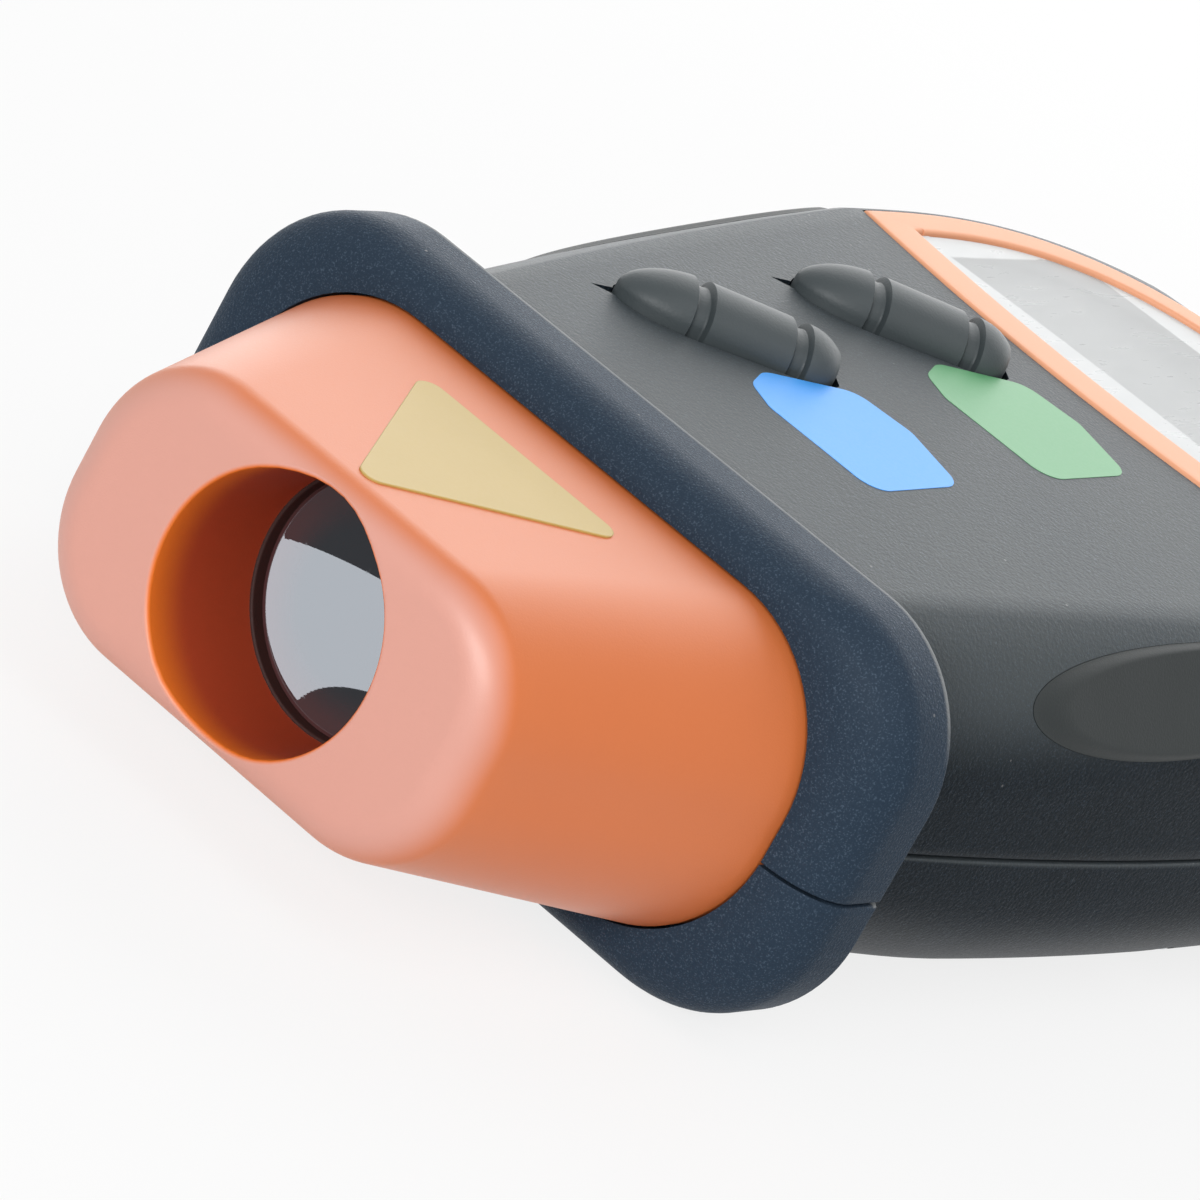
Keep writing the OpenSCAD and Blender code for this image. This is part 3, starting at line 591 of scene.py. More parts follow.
class Finish:
    """A material, or the world, under construction."""

    def __init__(self, name, tree=None):
        self.material = bpy.data.materials.new(name) if tree is None else None
        if tree is None:
            self.material.use_nodes = True
            tree = self.material.node_tree
        self.tree = tree
        self.tree.nodes.clear()

    def node(self, kind, settings=None, values=None, out=0):
        """Adds a node: its settings first, then its sockets' values or links; gives the outputs asked for."""
        made = self.tree.nodes.new(kind)
        for key, setting in (settings or {}).items():
            setattr(made, key, setting)
        for key, value in (values or {}).items():
            connect(self.tree, pick(made.inputs, key), value)
        if isinstance(out, tuple):
            return [Value(self.tree, pick(made.outputs, key)) for key in out]
        return Value(self.tree, pick(made.outputs, out)) if made.outputs else None

    def place(self):
        return self.node("ShaderNodeTexCoord", out="Object")

    def axes(self):
        return self.node("ShaderNodeSeparateXYZ", None, {0: self.place()}, ("X", "Y", "Z"))

    def facing(self, axis):
        """How far the surface faces along an axis, from -1 to 1."""
        normal = self.node("ShaderNodeTexCoord", out="Normal")
        return self.node("ShaderNodeSeparateXYZ", None, {0: normal}, axis)

    def noise(self, size, detail=2.0, roughness=0.5, distortion=0.0, stretch=(1, 1, 1)):
        """Cloudy noise whose features are about that size."""
        spot = self.node("ShaderNodeVectorMath", {"operation": "MULTIPLY"}, {0: self.place(), 1: stretch}) \
            if stretch != (1, 1, 1) else self.place()
        return self.node("ShaderNodeTexNoise", {"noise_dimensions": "3D"},
                         {"Vector": spot, "Scale": 1 / size, "Detail": detail, "Roughness": roughness,
                          "Distortion": distortion}, out="Fac")

    def cells(self, size, feature="F1"):
        return self.node("ShaderNodeTexVoronoi", {"feature": feature},
                         {"Vector": self.place(), "Scale": 1 / size}, out="Distance")

    def ramp(self, value, low, high):
        """0 below low, 1 above high, smooth between."""
        return self.node("ShaderNodeMapRange", {"interpolation_type": "SMOOTHSTEP"},
                         {"Value": value, "From Min": low, "From Max": high})

    def blend(self, factor, a, b):
        return self.node("ShaderNodeMix", {"data_type": "RGBA"},
                         {"Factor_Float": factor, "A_Color": a, "B_Color": b}, out="Result_Color")

    def bump(self, height, depth, strength=1.0):
        return self.node("ShaderNodeBump", None, {"Height": height, "Distance": depth, "Strength": strength})

    def seen(self):
        """1 for rays that show the surroundings: to the camera, in a reflection or through glass."""
        camera, glossy, through = self.node("ShaderNodeLightPath", out=("Is Camera Ray", "Is Glossy Ray",
                                                                        "Is Transmission Ray"))
        return camera.at_least(glossy).at_least(through)

    def surface(self, values):
        return self.done(self.node("ShaderNodeBsdfPrincipled", None, values))

    def done(self, shader, output="ShaderNodeOutputMaterial"):
        self.node(output, None, {"Surface": shader})
        return self.material


def shell_finish():
    """Moulded charcoal: wavy leather grain on the body, a fine sparkling grain on the collar whose pale
    flecks are painted glints; upward-facing surfaces get a paler charcoal as painted sheen, and the collar's
    back rim a painted highlight.
    """
    f, c, s = Finish("charcoal_shell"), colours(), sizes()
    _, y, _ = f.axes()
    rim = FRONT_Y + s.collar_y
    body = f.ramp(y, rim - 0.0002, rim + 0.0004)
    leather = f.noise(0.00034, 2.0, 0.55)
    fine = f.noise(0.00024, 1.5, 0.6)
    cloud = f.noise(0.012, 3)
    flecks = f.ramp(f.noise(0.00013, 1.0), 0.54, 0.72)
    dust = 1 - f.ramp(f.cells(0.0042), 0.018, 0.034)
    up = f.facing("Z")
    # painted sheen: surfaces that face up, shoulders included, take the paler face colour instead of the
    # flanks' charcoal
    shade = f.blend(body, c.collar, f.blend(f.ramp(up, 0.05, 0.6), c.case, c.face))
    shade = f.blend(cloud * 0.3, shade, c.collar)
    # pale flecks painted as the glints of the grain's sparkle, full on the collar and half on the body
    shade = f.blend(flecks * (1 - body * 0.5) * 0.4, shade, c.case_fleck_sparkle)
    shade = f.blend(dust * 0.5, shade, (0.3, 0.3, 0.3))
    # painted highlight along the upward-facing part of the collar's back rim
    rim_highlight_mask = f.ramp(y, rim - 1.6 * s.rim_r, rim - s.rim_r) * (1 - f.ramp(y, rim - 0.2 * s.rim_r, rim))
    shade = f.blend(rim_highlight_mask * f.ramp(up, 0.3, 0.7) * 0.7, shade, c.rim_highlight)
    height = leather * body + fine * (1 - body * 0.8) * 0.8
    return f.surface({"Base Color": shade, "Roughness": 0.44 + 0.16 * leather - 0.10 * flecks,
                      "Normal": f.bump(height, 0.00016, 0.7), "Specular IOR Level": 0.06,
                      "Coat Weight": (0.08 + 0.22 * body) * f.ramp(abs(up), 0.15, 0.6),
                      "Coat Roughness": 0.42})


def nose_finish():
    """Moulded orange with a very fine satin grain; a paler orange is painted as sheen on its front-facing
    surfaces, and light and shade are painted inside the bore.
    """
    f, c = Finish("orange_nose"), colours()
    x, y, z = f.axes()
    rise, r = z - AXIS_Z, sizes().bore_d / 2
    bore = 1 - f.ramp((x * x + rise * rise).root(), r, r + sizes().bore_edge)
    depth = f.ramp(y, FRONT_Y + 0.0003, FRONT_Y + 0.0045)
    grain = f.noise(0.00015, 2, 0.6)
    cloud = f.noise(0.009, 3)
    shade = f.blend(grain * 0.5 + cloud * 0.5, c.nose, c.nose_pale)
    # painted sheen: surfaces that face forward take the paler orange
    shade = f.blend(f.ramp(0 - f.facing("Y"), 0.35, 0.95) * 0.75, shade, c.nose_front_sheen)
    # painted light just inside the bore's mouth, fading to painted shade and bounced light deeper in
    shade = f.blend(bore, shade, f.blend(depth, c.nose_bore_light, c.nose_bore_shade))
    return f.surface({"Base Color": shade, "Roughness": 0.36 + 0.14 * grain,
                      "Normal": f.bump(grain, 0.00003, 0.4), "Coat Weight": 0.3, "Coat Roughness": 0.35})


def rubber_finish(name, shade, size, rough):
    """Soft dark rubber with a fine matt grain and faint paler clouds."""
    f = Finish(name)
    grain = f.noise(size, 2, 0.6)
    cloud = f.noise(0.006, 3)
    colour = f.blend(cloud * 0.7, shade, [v * 1.5 + 0.004 for v in shade])
    return f.surface({"Base Color": colour, "Roughness": rough + 0.12 * grain,
                      "Normal": f.bump(grain, 0.00004, 0.5), "Specular IOR Level": 0.4})


def satin_finish(name, shade, rough=0.3, size=0.0002):
    """Smooth moulded or printed surface with faint flow marks."""
    f = Finish(name)
    grain = f.noise(size, 2, 0.55)
    flow = f.noise(0.005, 3, 0.5, 0.6)
    colour = f.blend(flow * 0.5, shade, [min(1, v * 1.1 + 0.01) for v in shade])
    return f.surface({"Base Color": colour, "Roughness": rough + 0.10 * grain,
                      "Normal": f.bump(grain, 0.000012, 0.3)})


def metal_finish(name, shade, rough, size):
    """Plated or turned metal with fine tool marks and dull patches."""
    f = Finish(name)
    marks = f.noise(size, 3, 0.6, stretch=(1, 1, 6))
    dull = f.noise(0.003, 3)
    colour = f.blend(dull * 0.5, shade, [v * 0.8 for v in shade])
    return f.surface({"Base Color": colour, "Metallic": 1.0, "Roughness": rough + 0.16 * marks,
                      "Normal": f.bump(marks, 0.00001, 0.4)})


def lens_finish():
    """Dark coated glass with a trace of dust, and a dark red painted towards its rim as the reflection of the
    orange bore; a bump stands for its hollow, decentred rear face.
    """
    f, c = Finish("lens_glass"), colours()
    x, _, z = f.axes()
    rise = z - AXIS_Z
    out = (x * x + rise * rise).root()
    ground = f.ramp(out, 0.00915, 0.0093)
    dust = f.ramp(f.noise(0.0004, 3), 0.66, 0.8)
    dx, dz = x - LENS_CENTRE[0], rise - LENS_CENTRE[1]
    # painted reflection: the lens turns dark red towards its rim
    shade = f.blend(f.ramp(out, 0.0055, 0.0092), c.lens, c.lens_rim)
    return f.surface({"Base Color": shade, "Roughness": 0.01 + 0.08 * dust + 0.7 * ground, "IOR": 1.46,
                      "Specular Tint": (0.86, 0.92, 1.0),
                      "Normal": f.bump((dx * dx + dz * dz) / LENS_BOW, 1.0)})


def window_finish():
    """Clear window with a pale print round the display area, and fine rub marks."""
    f, c = Finish("display_window"), colours()
    x, y, _ = f.axes()
    low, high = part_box("lcd_panel")
    edge, soft = 0.0012, 0.0002
    inside = 1.0
    for room in ((high.x - edge) - abs(x), (high.y - edge) - y, y - (low.y + edge)):
        inside = inside * f.ramp(room, -soft, soft)
    rubs = f.noise(0.0009, 4, 0.6, 0.3, (1, 0.15, 1))
    return f.surface({"Base Color": c.window, "Roughness": 0.22 + 0.14 * rubs, "Alpha": 1 - 0.3 * inside,
                      "Specular IOR Level": 0.3, "Normal": f.bump(rubs, 0.000004, 0.3)})


def board_finish():
    """Green lacquer over copper lands."""
    f, c = Finish("board_lacquer"), colours()
    lands = f.ramp(f.cells(0.0022, "DISTANCE_TO_EDGE"), 0.04, 0.09)
    colour = f.blend(lands, [v * 1.9 for v in c.board], c.board)
    return f.surface({"Base Color": colour, "Roughness": 0.25 + 0.2 * f.noise(0.001),
                      "Normal": f.bump(lands, 0.00004, 0.5), "Coat Weight": 0.3})


def floor_finish():
    """Pale floor that fades into the white background, and keeps the shadow."""
    f = Finish("pale_floor")
    x, y, _ = f.axes()
    far = (x * x + y * y).root()
    grain = f.noise(0.02, 2)
    pale = f.node("ShaderNodeBsdfPrincipled", None, {
        "Base Color": (0.86, 0.86, 0.86), "Roughness": 0.85 + 0.1 * grain, "Specular IOR Level": 0.1})
    white = f.node("ShaderNodeEmission", None, {"Color": (1, 1, 1), "Strength": 1.0})
    lit = f.node("ShaderNodeMixShader", None, {0: 0.82 * f.seen(), 1: pale, 2: white})
    clear = f.node("ShaderNodeBsdfTransparent")
    below = f.node("ShaderNodeNewGeometry", out="Backfacing")
    gone = f.ramp(far, *FLOOR_FADE).at_least(below)
    return f.done(f.node("ShaderNodeMixShader", None, {0: gone, 1: lit, 2: clear}))


# The mouldings

def collar_rows(half, split, edge):
    """The collar's rolled front, its back rim and the fillet at its root."""
    s = sizes()
    steps = []
    for back, away in quarter(16):
        t = 1 - away
        steps.append((s.nose_l + s.collar_roll * back,
                      collar_profile(mix(s.nose_back_w / 2 + s.fit, COLLAR_W / 2, t),
                                     mix(s.nose_back_h / 2 + s.fit, s.collar_h / 2, t),
                                     mix(s.nose_back_corner, s.collar_corner, t))))
    for back, away in quarter(9):
        d = s.rim_r * back
        steps.append((s.collar_y - s.rim_r * away,
                      collar_profile(COLLAR_W / 2 - d, s.collar_h / 2 - d, s.collar_corner - d)))
    for back, away in quarter(8):
        y = s.collar_y + s.root_r * back
        steps.append((y, body_profile(y, -s.root_r * away)))
    return [ring(y, section(profile, half, split, edge)) for y, profile in steps]


def body_rows(half, split, edge, inset=0.0, start=None, n_body=64, n_tail=40):
    s = sizes()
    start = s.collar_y + s.root_r if start is None else start
    turn = np.radians(np.linspace(0, 90, n_tail + 1)[1:])
    ys = np.concatenate([np.linspace(start, wide_y(), n_body + 1)[1:],
                         wide_y() + (s.tail_reach - inset) * np.sin(turn)])
    return [ring(y, section(body_profile(y, inset), half, split, edge)) for y in ys]


def housing(half):
    """Outer skin of one shell, or of the whole housing."""
    s = sizes()
    split = {"upper": s.split_gap / 2, "lower": -s.split_gap / 2}.get(half, 0) - s.split_drop
    edge = s.split_edge if half in ("upper", "lower") else 0
    return skin(collar_rows(half, split, edge) + body_rows(half, split, edge))


def cavity():
    s = sizes()
    start = s.nose_l + s.plug_l + 0.0003
    first = ring(start, section(body_profile(start, s.wall), "whole", -s.split_drop))
    return skin([first] + body_rows("whole", -s.split_drop, 0, s.wall, start, 24, 20))


def lip(clearance=0.0):
    """The lower shell's lip above the parting plane; with clearance, the tool that cuts its rebate."""
    s = sizes()
    start, inset = s.nose_l + s.plug_l + 0.0005, s.wall / 2 - clearance
    top = s.lip_h + clearance - s.split_drop
    first = ring(start, section(body_profile(start, inset), "lower", top))
    return skin([first] + body_rows("lower", top, 0, inset, start))


def nose_seat():
    s = sizes()
    w, h, r = s.nose_back_w / 2 + s.fit, s.nose_back_h / 2 + s.fit, s.nose_back_corner
    g = s.plug_groove
    tongue = s.nose_l + s.groove_set
    end = s.nose_l + s.plug_l
    edge = 1e-5
    return [bar_y(rounded(w - edge, h - edge, r - edge), s.nose_l - 0.001, tongue + s.fit),
            bar_y(rounded(w - g, h - g, r - g), s.nose_l, end + 0.001),
            bar_y(rounded(w, h, r), tongue + s.groove_w - s.fit, end + 0.0003)]


def key_ends(u):
    """Squared approach to a key's pointed and blunt ends, 0 between them and 1 at the very end."""
    tail = (u - sizes().key_l + KEY_TAIL) / KEY_TAIL
    return np.clip(1 - u / KEY_TIP, 0, 1) ** 2, np.clip(tail, 0, 1) ** 2


def key_half(u):
    s = sizes()
    tip, tail = key_ends(u)
    return s.key_w / 2 * np.sqrt(np.clip(1 - tip, 0, 1)) * np.sqrt(1 - 0.75 * tail)


def key_top(u):
    s = sizes()
    tip, tail = key_ends(u)
    return s.key_h * np.sqrt(1 - 0.93 * tip) * np.sqrt(1 - 0.5 * tail)


def key_outline(grow, bow, n=48):
    s = sizes()
    t = np.arange(1, n + 1) / n
    u = s.key_l * (1 - np.cos(np.pi * t)) / 2
    x, v = u + grow * t, key_half(u) + grow
    return np.vstack([[[-bow - grow, 0]], np.column_stack([x, -v]), np.column_stack([x, v])[::-1]])


def at_key(points, y):
    """Brings points of a key's own frame, with u along the key from its tip, to its place on the face."""
    s = sizes()
    p = np.asarray(points, float) - [s.key_l / 2, 0, 0]
    c, n = math.cos(s.key_slant), math.sin(s.key_slant)
    turned_p = np.stack([p[:, 0] * c - p[:, 1] * n, p[:, 0] * n + p[:, 1] * c, p[:, 2]], -1)
    return turned_p + [-s.key_x, y, face_z(y)]


def key_skin(y):
    """A torpedo with two cross grooves, and the flange that holds it under the face."""
    s = sizes()
    stations = [k * s.key_l for k in KEY_GROOVES]
    lip = 0.00012
    us = np.concatenate([s.key_l * (1 - np.cos(np.linspace(0.12, np.pi, 90))) / 2]
                        + [k + np.linspace(-1, 1, 17) * (s.key_groove_w / 2 + 2 * lip) for k in stations])
    us = np.unique(np.round(us, 7))
    far = np.min([np.abs(us - k) for k in stations], 0)
    cut = s.key_groove * smooth_step((s.key_groove_w / 2 + lip - far) / (2 * lip))
    a = np.linspace(np.pi, 0, 33)
    rows = []
    for u, g in zip(us, cut):
        w, top = max(key_half(u) - g, 2e-5), key_top(u) - g
        flank = min(s.key_flank, 0.5 * top)
        crown = np.stack([np.full(33, u), w * np.cos(a), flank + (top - flank) * np.sin(a)], -1)
        rows.append(np.vstack([[[u, -w, KEY_ROOT]], crown, [[u, w, KEY_ROOT]]]))
    parts = [skin(rows), prism(key_outline(s.key_gap + 0.0006, 0), *KEY_FLANGE),
             prism(key_outline(-0.00025, -0.0008), *KEY_NECK)]
    return [(at_key(points, y), faces) for points, faces in parts]


def key_opening(y):
    s = sizes()
    points, faces = prism(key_outline(s.key_gap, s.key_bow_gap), -2.5 * s.wall, FAR)
    return at_key(points, y), faces


def frame_outline(inset, front, n_front=64, n_rear=128):
    s = sizes()
    half = s.body_w / 2 - s.frame_margin
    h, reach = half - inset, s.tail_reach - s.frame_tail - inset
    front_y = s.frame_y + front
    x = np.linspace(-h, h, n_front + 1)
    a = np.linspace(0, np.pi, n_rear + 1)
    k = (np.abs(np.cos(a)) ** 3 + np.sin(a) ** 3) ** (-1 / 3)
    rear_y = np.maximum(wide_y() + reach * np.sin(a) * k, front_y + s.frame_bow + 0.0004)
    return np.vstack([np.column_stack([x, front_y + s.frame_bow * (x / half) ** 2]),
                      np.column_stack([h * np.cos(a) * k, rear_y])])


def frame_floor():
    return sizes().collar_h / 2 - sizes().frame_t


def display_seat():
    s = sizes()
    inner = frame_outline(s.frame_side + s.window_ledge, s.frame_front + s.window_ledge)
    return [prism(frame_outline(-s.fit, -s.fit), frame_floor(), FAR), prism(inner, 0, FAR)]


def grip_point(r, a, height, grow=0.0):
    """A point of a grip pad: r from its middle to its rim, a round it, height above the shell."""
    s = sizes()
    y = s.grip_y + (s.grip_l / 2 + grow) * r * np.cos(a)
    q = s.grip_turn + (s.grip_spread + grow * 70) * r * np.sin(a)
    radius = shoulder_r(y)
    return np.stack([body_half(y) - radius + (radius + height) * np.cos(q), y,
                     face_z(y) - radius * math.sin(s.roof_angle) + (radius + height) * np.sin(q)], -1)


def grip_skin(side, depth, lift=None, grow=0.0, n=128):
    """A dished oval pad with a rounded rim; with lift, the tool that cuts its seat."""
    s = sizes()
    a = np.linspace(0, 2 * np.pi, n, endpoint=False)
    rs = np.concatenate([np.linspace(0.04, 0.84, 20), np.linspace(0.85, 1, 14)])
    fall = smooth_step((rs - 0.84) / 0.16)
    dished = mix(mix(-s.grip_dish, s.grip_rim, rs ** 2), 0.00003, fall)
    heights = dished if lift is None else np.full(len(rs), lift)
    rows = [grip_point(r, a, h, grow) for r, h in zip(rs, heights)]
    rows += [grip_point(r, a, -depth, grow) for r in rs[::-1]]
    return skin(np.asarray(rows) * [side, 1, 1])


POSTS = [(x * side, y) for x, y in ((0.019, 0.0414), (0.026, 0.090)) for side in (-1, 1)]


def posts(d, low, high, n=48):
    return [skin(np.asarray(turned([(d / 2, low), (d / 2, high)], n, "z")) + [x, y, 0]) for x, y in POSTS]


def post_limit():
    s = sizes()
    ys = np.linspace(POSTS[0][1] - s.post_d, POSTS[-1][1] + s.post_d, 24)
    return skin([ring(y, section(body_profile(y, s.wall / 2), "whole", -s.split_drop)) for y in ys])


def make_posts(name, d, low, high):
    return carve(new_object(name, posts(d, low, high)), [new_object("limit", [post_limit()])], "INTERSECT")


class TACH_OT_shells(bpy.types.Operator):
    """Build the upper and lower shells with their collar halves, openings and posts"""

    bl_idname = "tach.shells"
    bl_label = "Shells"

    def execute(self, context):
        s, finish = sizes(), shell_finish()
        split = -s.split_drop
        upper = new_object("upper_shell_moulding", [housing("upper")])
        hollow = [new_object("hollow", [part]) for part in [cavity(), lip(s.fit), *nose_seat()]]
        openings = [new_object("opening", [part]) for part in
                    [key_opening(s.mem_y), key_opening(s.test_y), *display_seat(),
                     *(grip_skin(side, s.grip_seat + s.fit, 0.004, 0.00004) for side in (-1, 1))]]
        carve(upper, hollow + openings)
        finish_piece(upper, finish, "case", "case_upper", "upper_shell", crease=SHELL_CREASE)
        lower = new_object("lower_shell_moulding", [housing("lower")])
        carve(lower, [new_object("lip", [lip()])], "UNION")
        carve(lower, [new_object("hollow", [part]) for part in [cavity(), *nose_seat()]])
        carve(lower, [make_posts("posts", s.post_d, -AXIS_Z, split)], "UNION")
        x = s.door_w / 2 + s.slide
        door_hole = block((-x, s.door_y - s.slide, -FAR), (x, TOTAL_L + 0.001, s.wall + 0.0003 - AXIS_Z))
        carve(lower, [new_object("hole", [door_hole]),
                      new_object("hole", posts(s.head_d + 0.0005, -FAR, s.head_z - AXIS_Z)),
                      new_object("hole", posts(s.screw_d + 0.0005, -FAR, FAR))])
        finish_piece(lower, finish, "case", "case_lower", "lower_shell", crease=SHELL_CREASE)
        return {"FINISHED"}


class TACH_OT_nose(bpy.types.Operator):
    """Build the orange nose with its bore and plug"""

    bl_idname = "tach.nose"
    bl_label = "Nose"

    def outline(self, y, inset=0.0):
        s = sizes()
        t = np.clip(y / s.nose_l, 0, 1)
        return ring(y, rounded(mix(s.nose_front_w, s.nose_back_w, t) / 2 - inset,
                               mix(s.nose_front_h, s.nose_back_h, t) / 2 - inset,
                               mix(s.nose_front_corner, s.nose_back_corner, t) - inset, 24, 14))

    def front_rows(self, n=40):
        """The rolled front edge and the front face, column by column up to the bore's mouth."""
        s = sizes()
        mouth = s.bore_d / 2 + s.bore_edge
        roll = [self.outline(s.nose_edge * back, s.nose_edge * away) for back, away in quarter(60)[::-1]]
        edge = roll[-1]
        turn = np.arctan2(edge[:, 2], edge[:, 0])
        target = np.stack([mouth * np.cos(turn), np.zeros(len(turn)), mouth * np.sin(turn)], -1) * 0.995
        face = [edge * (1 - t) + target * t for t in np.linspace(0, 1, 60)[1:]]
        paths = np.asarray(roll + face)
        columns = []
        for path in paths.transpose(1, 0, 2):
            reach = np.hypot(path[:, 0], path[:, 2])
            stop = int(np.argmax(reach < mouth))
            t = (reach[stop - 1] - mouth) / (reach[stop - 1] - reach[stop])
            path = np.vstack([path[:stop], mix(path[stop - 1], path[stop], t)])
            run = np.concatenate([[0], np.cumsum(np.linalg.norm(np.diff(path, axis=0), axis=1))])
            at = np.linspace(0, run[-1], n)
            columns.append(np.stack([np.interp(at, run, path[:, k]) for k in range(3)], -1))
        return np.asarray(columns).transpose(1, 0, 2)

    def bore_rows(self, mouth_row):
        """The rounded mouth, the bore, the lens seat and the pocket behind it."""
        s = sizes()
        turn = np.arctan2(mouth_row[:, 2], mouth_row[:, 0])
        r, f = s.bore_d / 2, s.bore_edge
        seat_r, seat_end = s.lens_d / 2 + s.fit, s.bore_depth + s.ring_t + s.lens_rim

        def circle(radius, y):
            y = np.broadcast_to(y, turn.shape)
            return np.stack([radius * np.cos(turn), y, radius * np.sin(turn)], -1)

        rows = [circle(r + f * away, mouth_row[:, 1] + f * back) for back, away in quarter(7)[1:]]
        rows += [circle(r, mix(rows[-1][:, 1], s.bore_depth, t)) for t in np.linspace(0, 1, 14)[1:]]
        rows += [circle(seat_r, s.bore_depth), circle(seat_r, seat_end)]
        h = s.nose_back_h / 2 - 0.0026
        pocket = rounded(s.nose_front_w / 2, h, 0.9 * h, 24, 14)
        return rows + [ring(y, pocket) for y in (seat_end, s.nose_l + s.plug_l)]

    def execute(self, context):
        s = sizes()
        tongue = s.nose_l + s.groove_set
        groove = tongue + s.groove_w
        plug = [(s.nose_l + s.plug_l, 0), (groove, 0), (groove, s.plug_groove), (tongue, s.plug_groove),
                (tongue, 0)]
        rows = [self.outline(y, inset) for y, inset in plug]
        rows += [self.outline(y) for y in np.linspace(s.nose_l, s.nose_edge, 24)[:-1]]
        front = self.front_rows()
        rows += list(front) + self.bore_rows(front[-1])
        nose = new_object("nose_moulding", [skin(rows, loop=True)])
        finish_piece(nose, nose_finish(), "case", "nose", "nose_cone", crease=MOULD_CREASE)
        return {"FINISHED"}


class TACH_OT_optics(bpy.types.Operator):
    """Build the domed lens and the black ring that holds it"""

    bl_idname = "tach.optics"
    bl_label = "Lens and ring"

    def execute(self, context):
        s = sizes()
        front = s.bore_depth + s.ring_t
        half = s.bore_d / 2 - s.ring_lip - 0.0002
        dome_r = (half ** 2 + s.lens_dome ** 2) / (2 * s.lens_dome)
        reach = math.asin(half / dome_r)
        dome = [(dome_r * math.sin(a), dome_r * (1 - math.cos(a))) for a in np.linspace(0.01, reach, 28)]
        profile = [(r, front - s.lens_dome + d) for r, d in dome]
        profile += [(s.lens_d / 2, front), (s.lens_d / 2, front + s.lens_rim)]
        profile += [(0.8 * r, front + s.lens_rim + 0.8 * (s.lens_dome - d)) for r, d in dome[::-1]]
        lens = new_object("lens_glass_disc", [skin(turned(profile, 128))])
        finish_piece(lens, lens_finish(), "case", "lens", "lens")
        inner, outer, edge = s.bore_d / 2 - s.ring_lip, s.lens_d / 2, 0.00018
        profile = [(outer, front), (outer, s.bore_depth), (inner + edge, s.bore_depth)]
        profile += [(inner + edge * away, s.bore_depth + edge * back) for back, away in quarter(6)[1:]]
        profile.append((inner, front))
        holder = new_object("lens_ring_moulding", [skin(turned(profile, 128), loop=True)])
        # painted shade: the ring's dark maroon is the bore's orange as it looks in shadow
        finish_piece(holder, rubber_finish("ring_maroon_shade", (0.030, 0.010, 0.008), 0.0002, 0.6), "case", "ring",
                     "lens_ring")
        return {"FINISHED"}


class TACH_OT_keys(bpy.types.Operator):
    """Build the two torpedo-shaped keys"""

    bl_idname = "tach.keys"
    bl_label = "Keys"

    def execute(self, context):
        finish = rubber_finish("key_rubber", colours().key, 0.00022, 0.42)
        for name, y in (("mem", sizes().mem_y), ("test", sizes().test_y)):
            key = new_object(name + "_key_cap", key_skin(y))
            finish_piece(key, finish, name + "_key", "key", name + "_button", crease=MOULD_CREASE)
        return {"FINISHED"}


class TACH_OT_display(bpy.types.Operator):
    """Build the display frame and its window"""

    bl_idname = "tach.display"
    bl_label = "Display"

    def rise(self, outline):
        s = sizes()
        return s.crown * (1 - np.clip(outline[:, 0] / (s.body_w / 2 - s.frame_margin), -1, 1) ** 2)

    def row(self, inset, front, z):
        outline = frame_outline(inset, front)
        lift = self.rise(outline) if z > frame_floor() else 0
        return np.column_stack([outline, np.full(len(outline), z) + lift])

    def execute(self, context):
        s, c = sizes(), colours()
        floor, top, e = frame_floor(), s.collar_h / 2 + s.frame_proud, s.frame_edge
        rows = [self.row(0, 0, floor)]
        rows += [self.row(e * back, e * back, top - e * away) for back, away in quarter(6)]
        rows += [self.row(mix(e, s.frame_side - e, t), mix(e, s.frame_front - e, t), top)
                 for t in np.linspace(0, 1, 6)[1:]]
        rows += [self.row(s.frame_side - e * away, s.frame_front - e * away, top - e * back)
                 for back, away in quarter(6)[1:]]
        rows.append(self.row(s.frame_side, s.frame_front, floor))
        bezel = new_object("display_frame_moulding", [skin(rows, loop=True)])
        finish_piece(bezel, satin_finish("frame_orange", c.display_frame, 0.46), "case", "frame", "lcd_frame")
        gap, glass_top = s.fit, floor + s.frame_t - s.fit
        steps = [(gap, floor), (gap, glass_top - 0.0002), (gap + 0.0002, glass_top)]
        rows = [self.row(s.frame_side + d, s.frame_front + d, z) for d, z in steps]
        middle = np.asarray([0, wide_y() + 0.3 * s.tail_reach])
        for t in np.linspace(0, 1, 12)[1:-1]:
            outline = mix(rows[2][:, :2], middle, t)
            rows.append(np.column_stack([outline, glass_top + self.rise(outline)]))
        window = new_object("display_window_glass", [skin(rows)])
        finish_piece(window, window_finish(), "case", "window", "lcd_window")
        return {"FINISHED"}


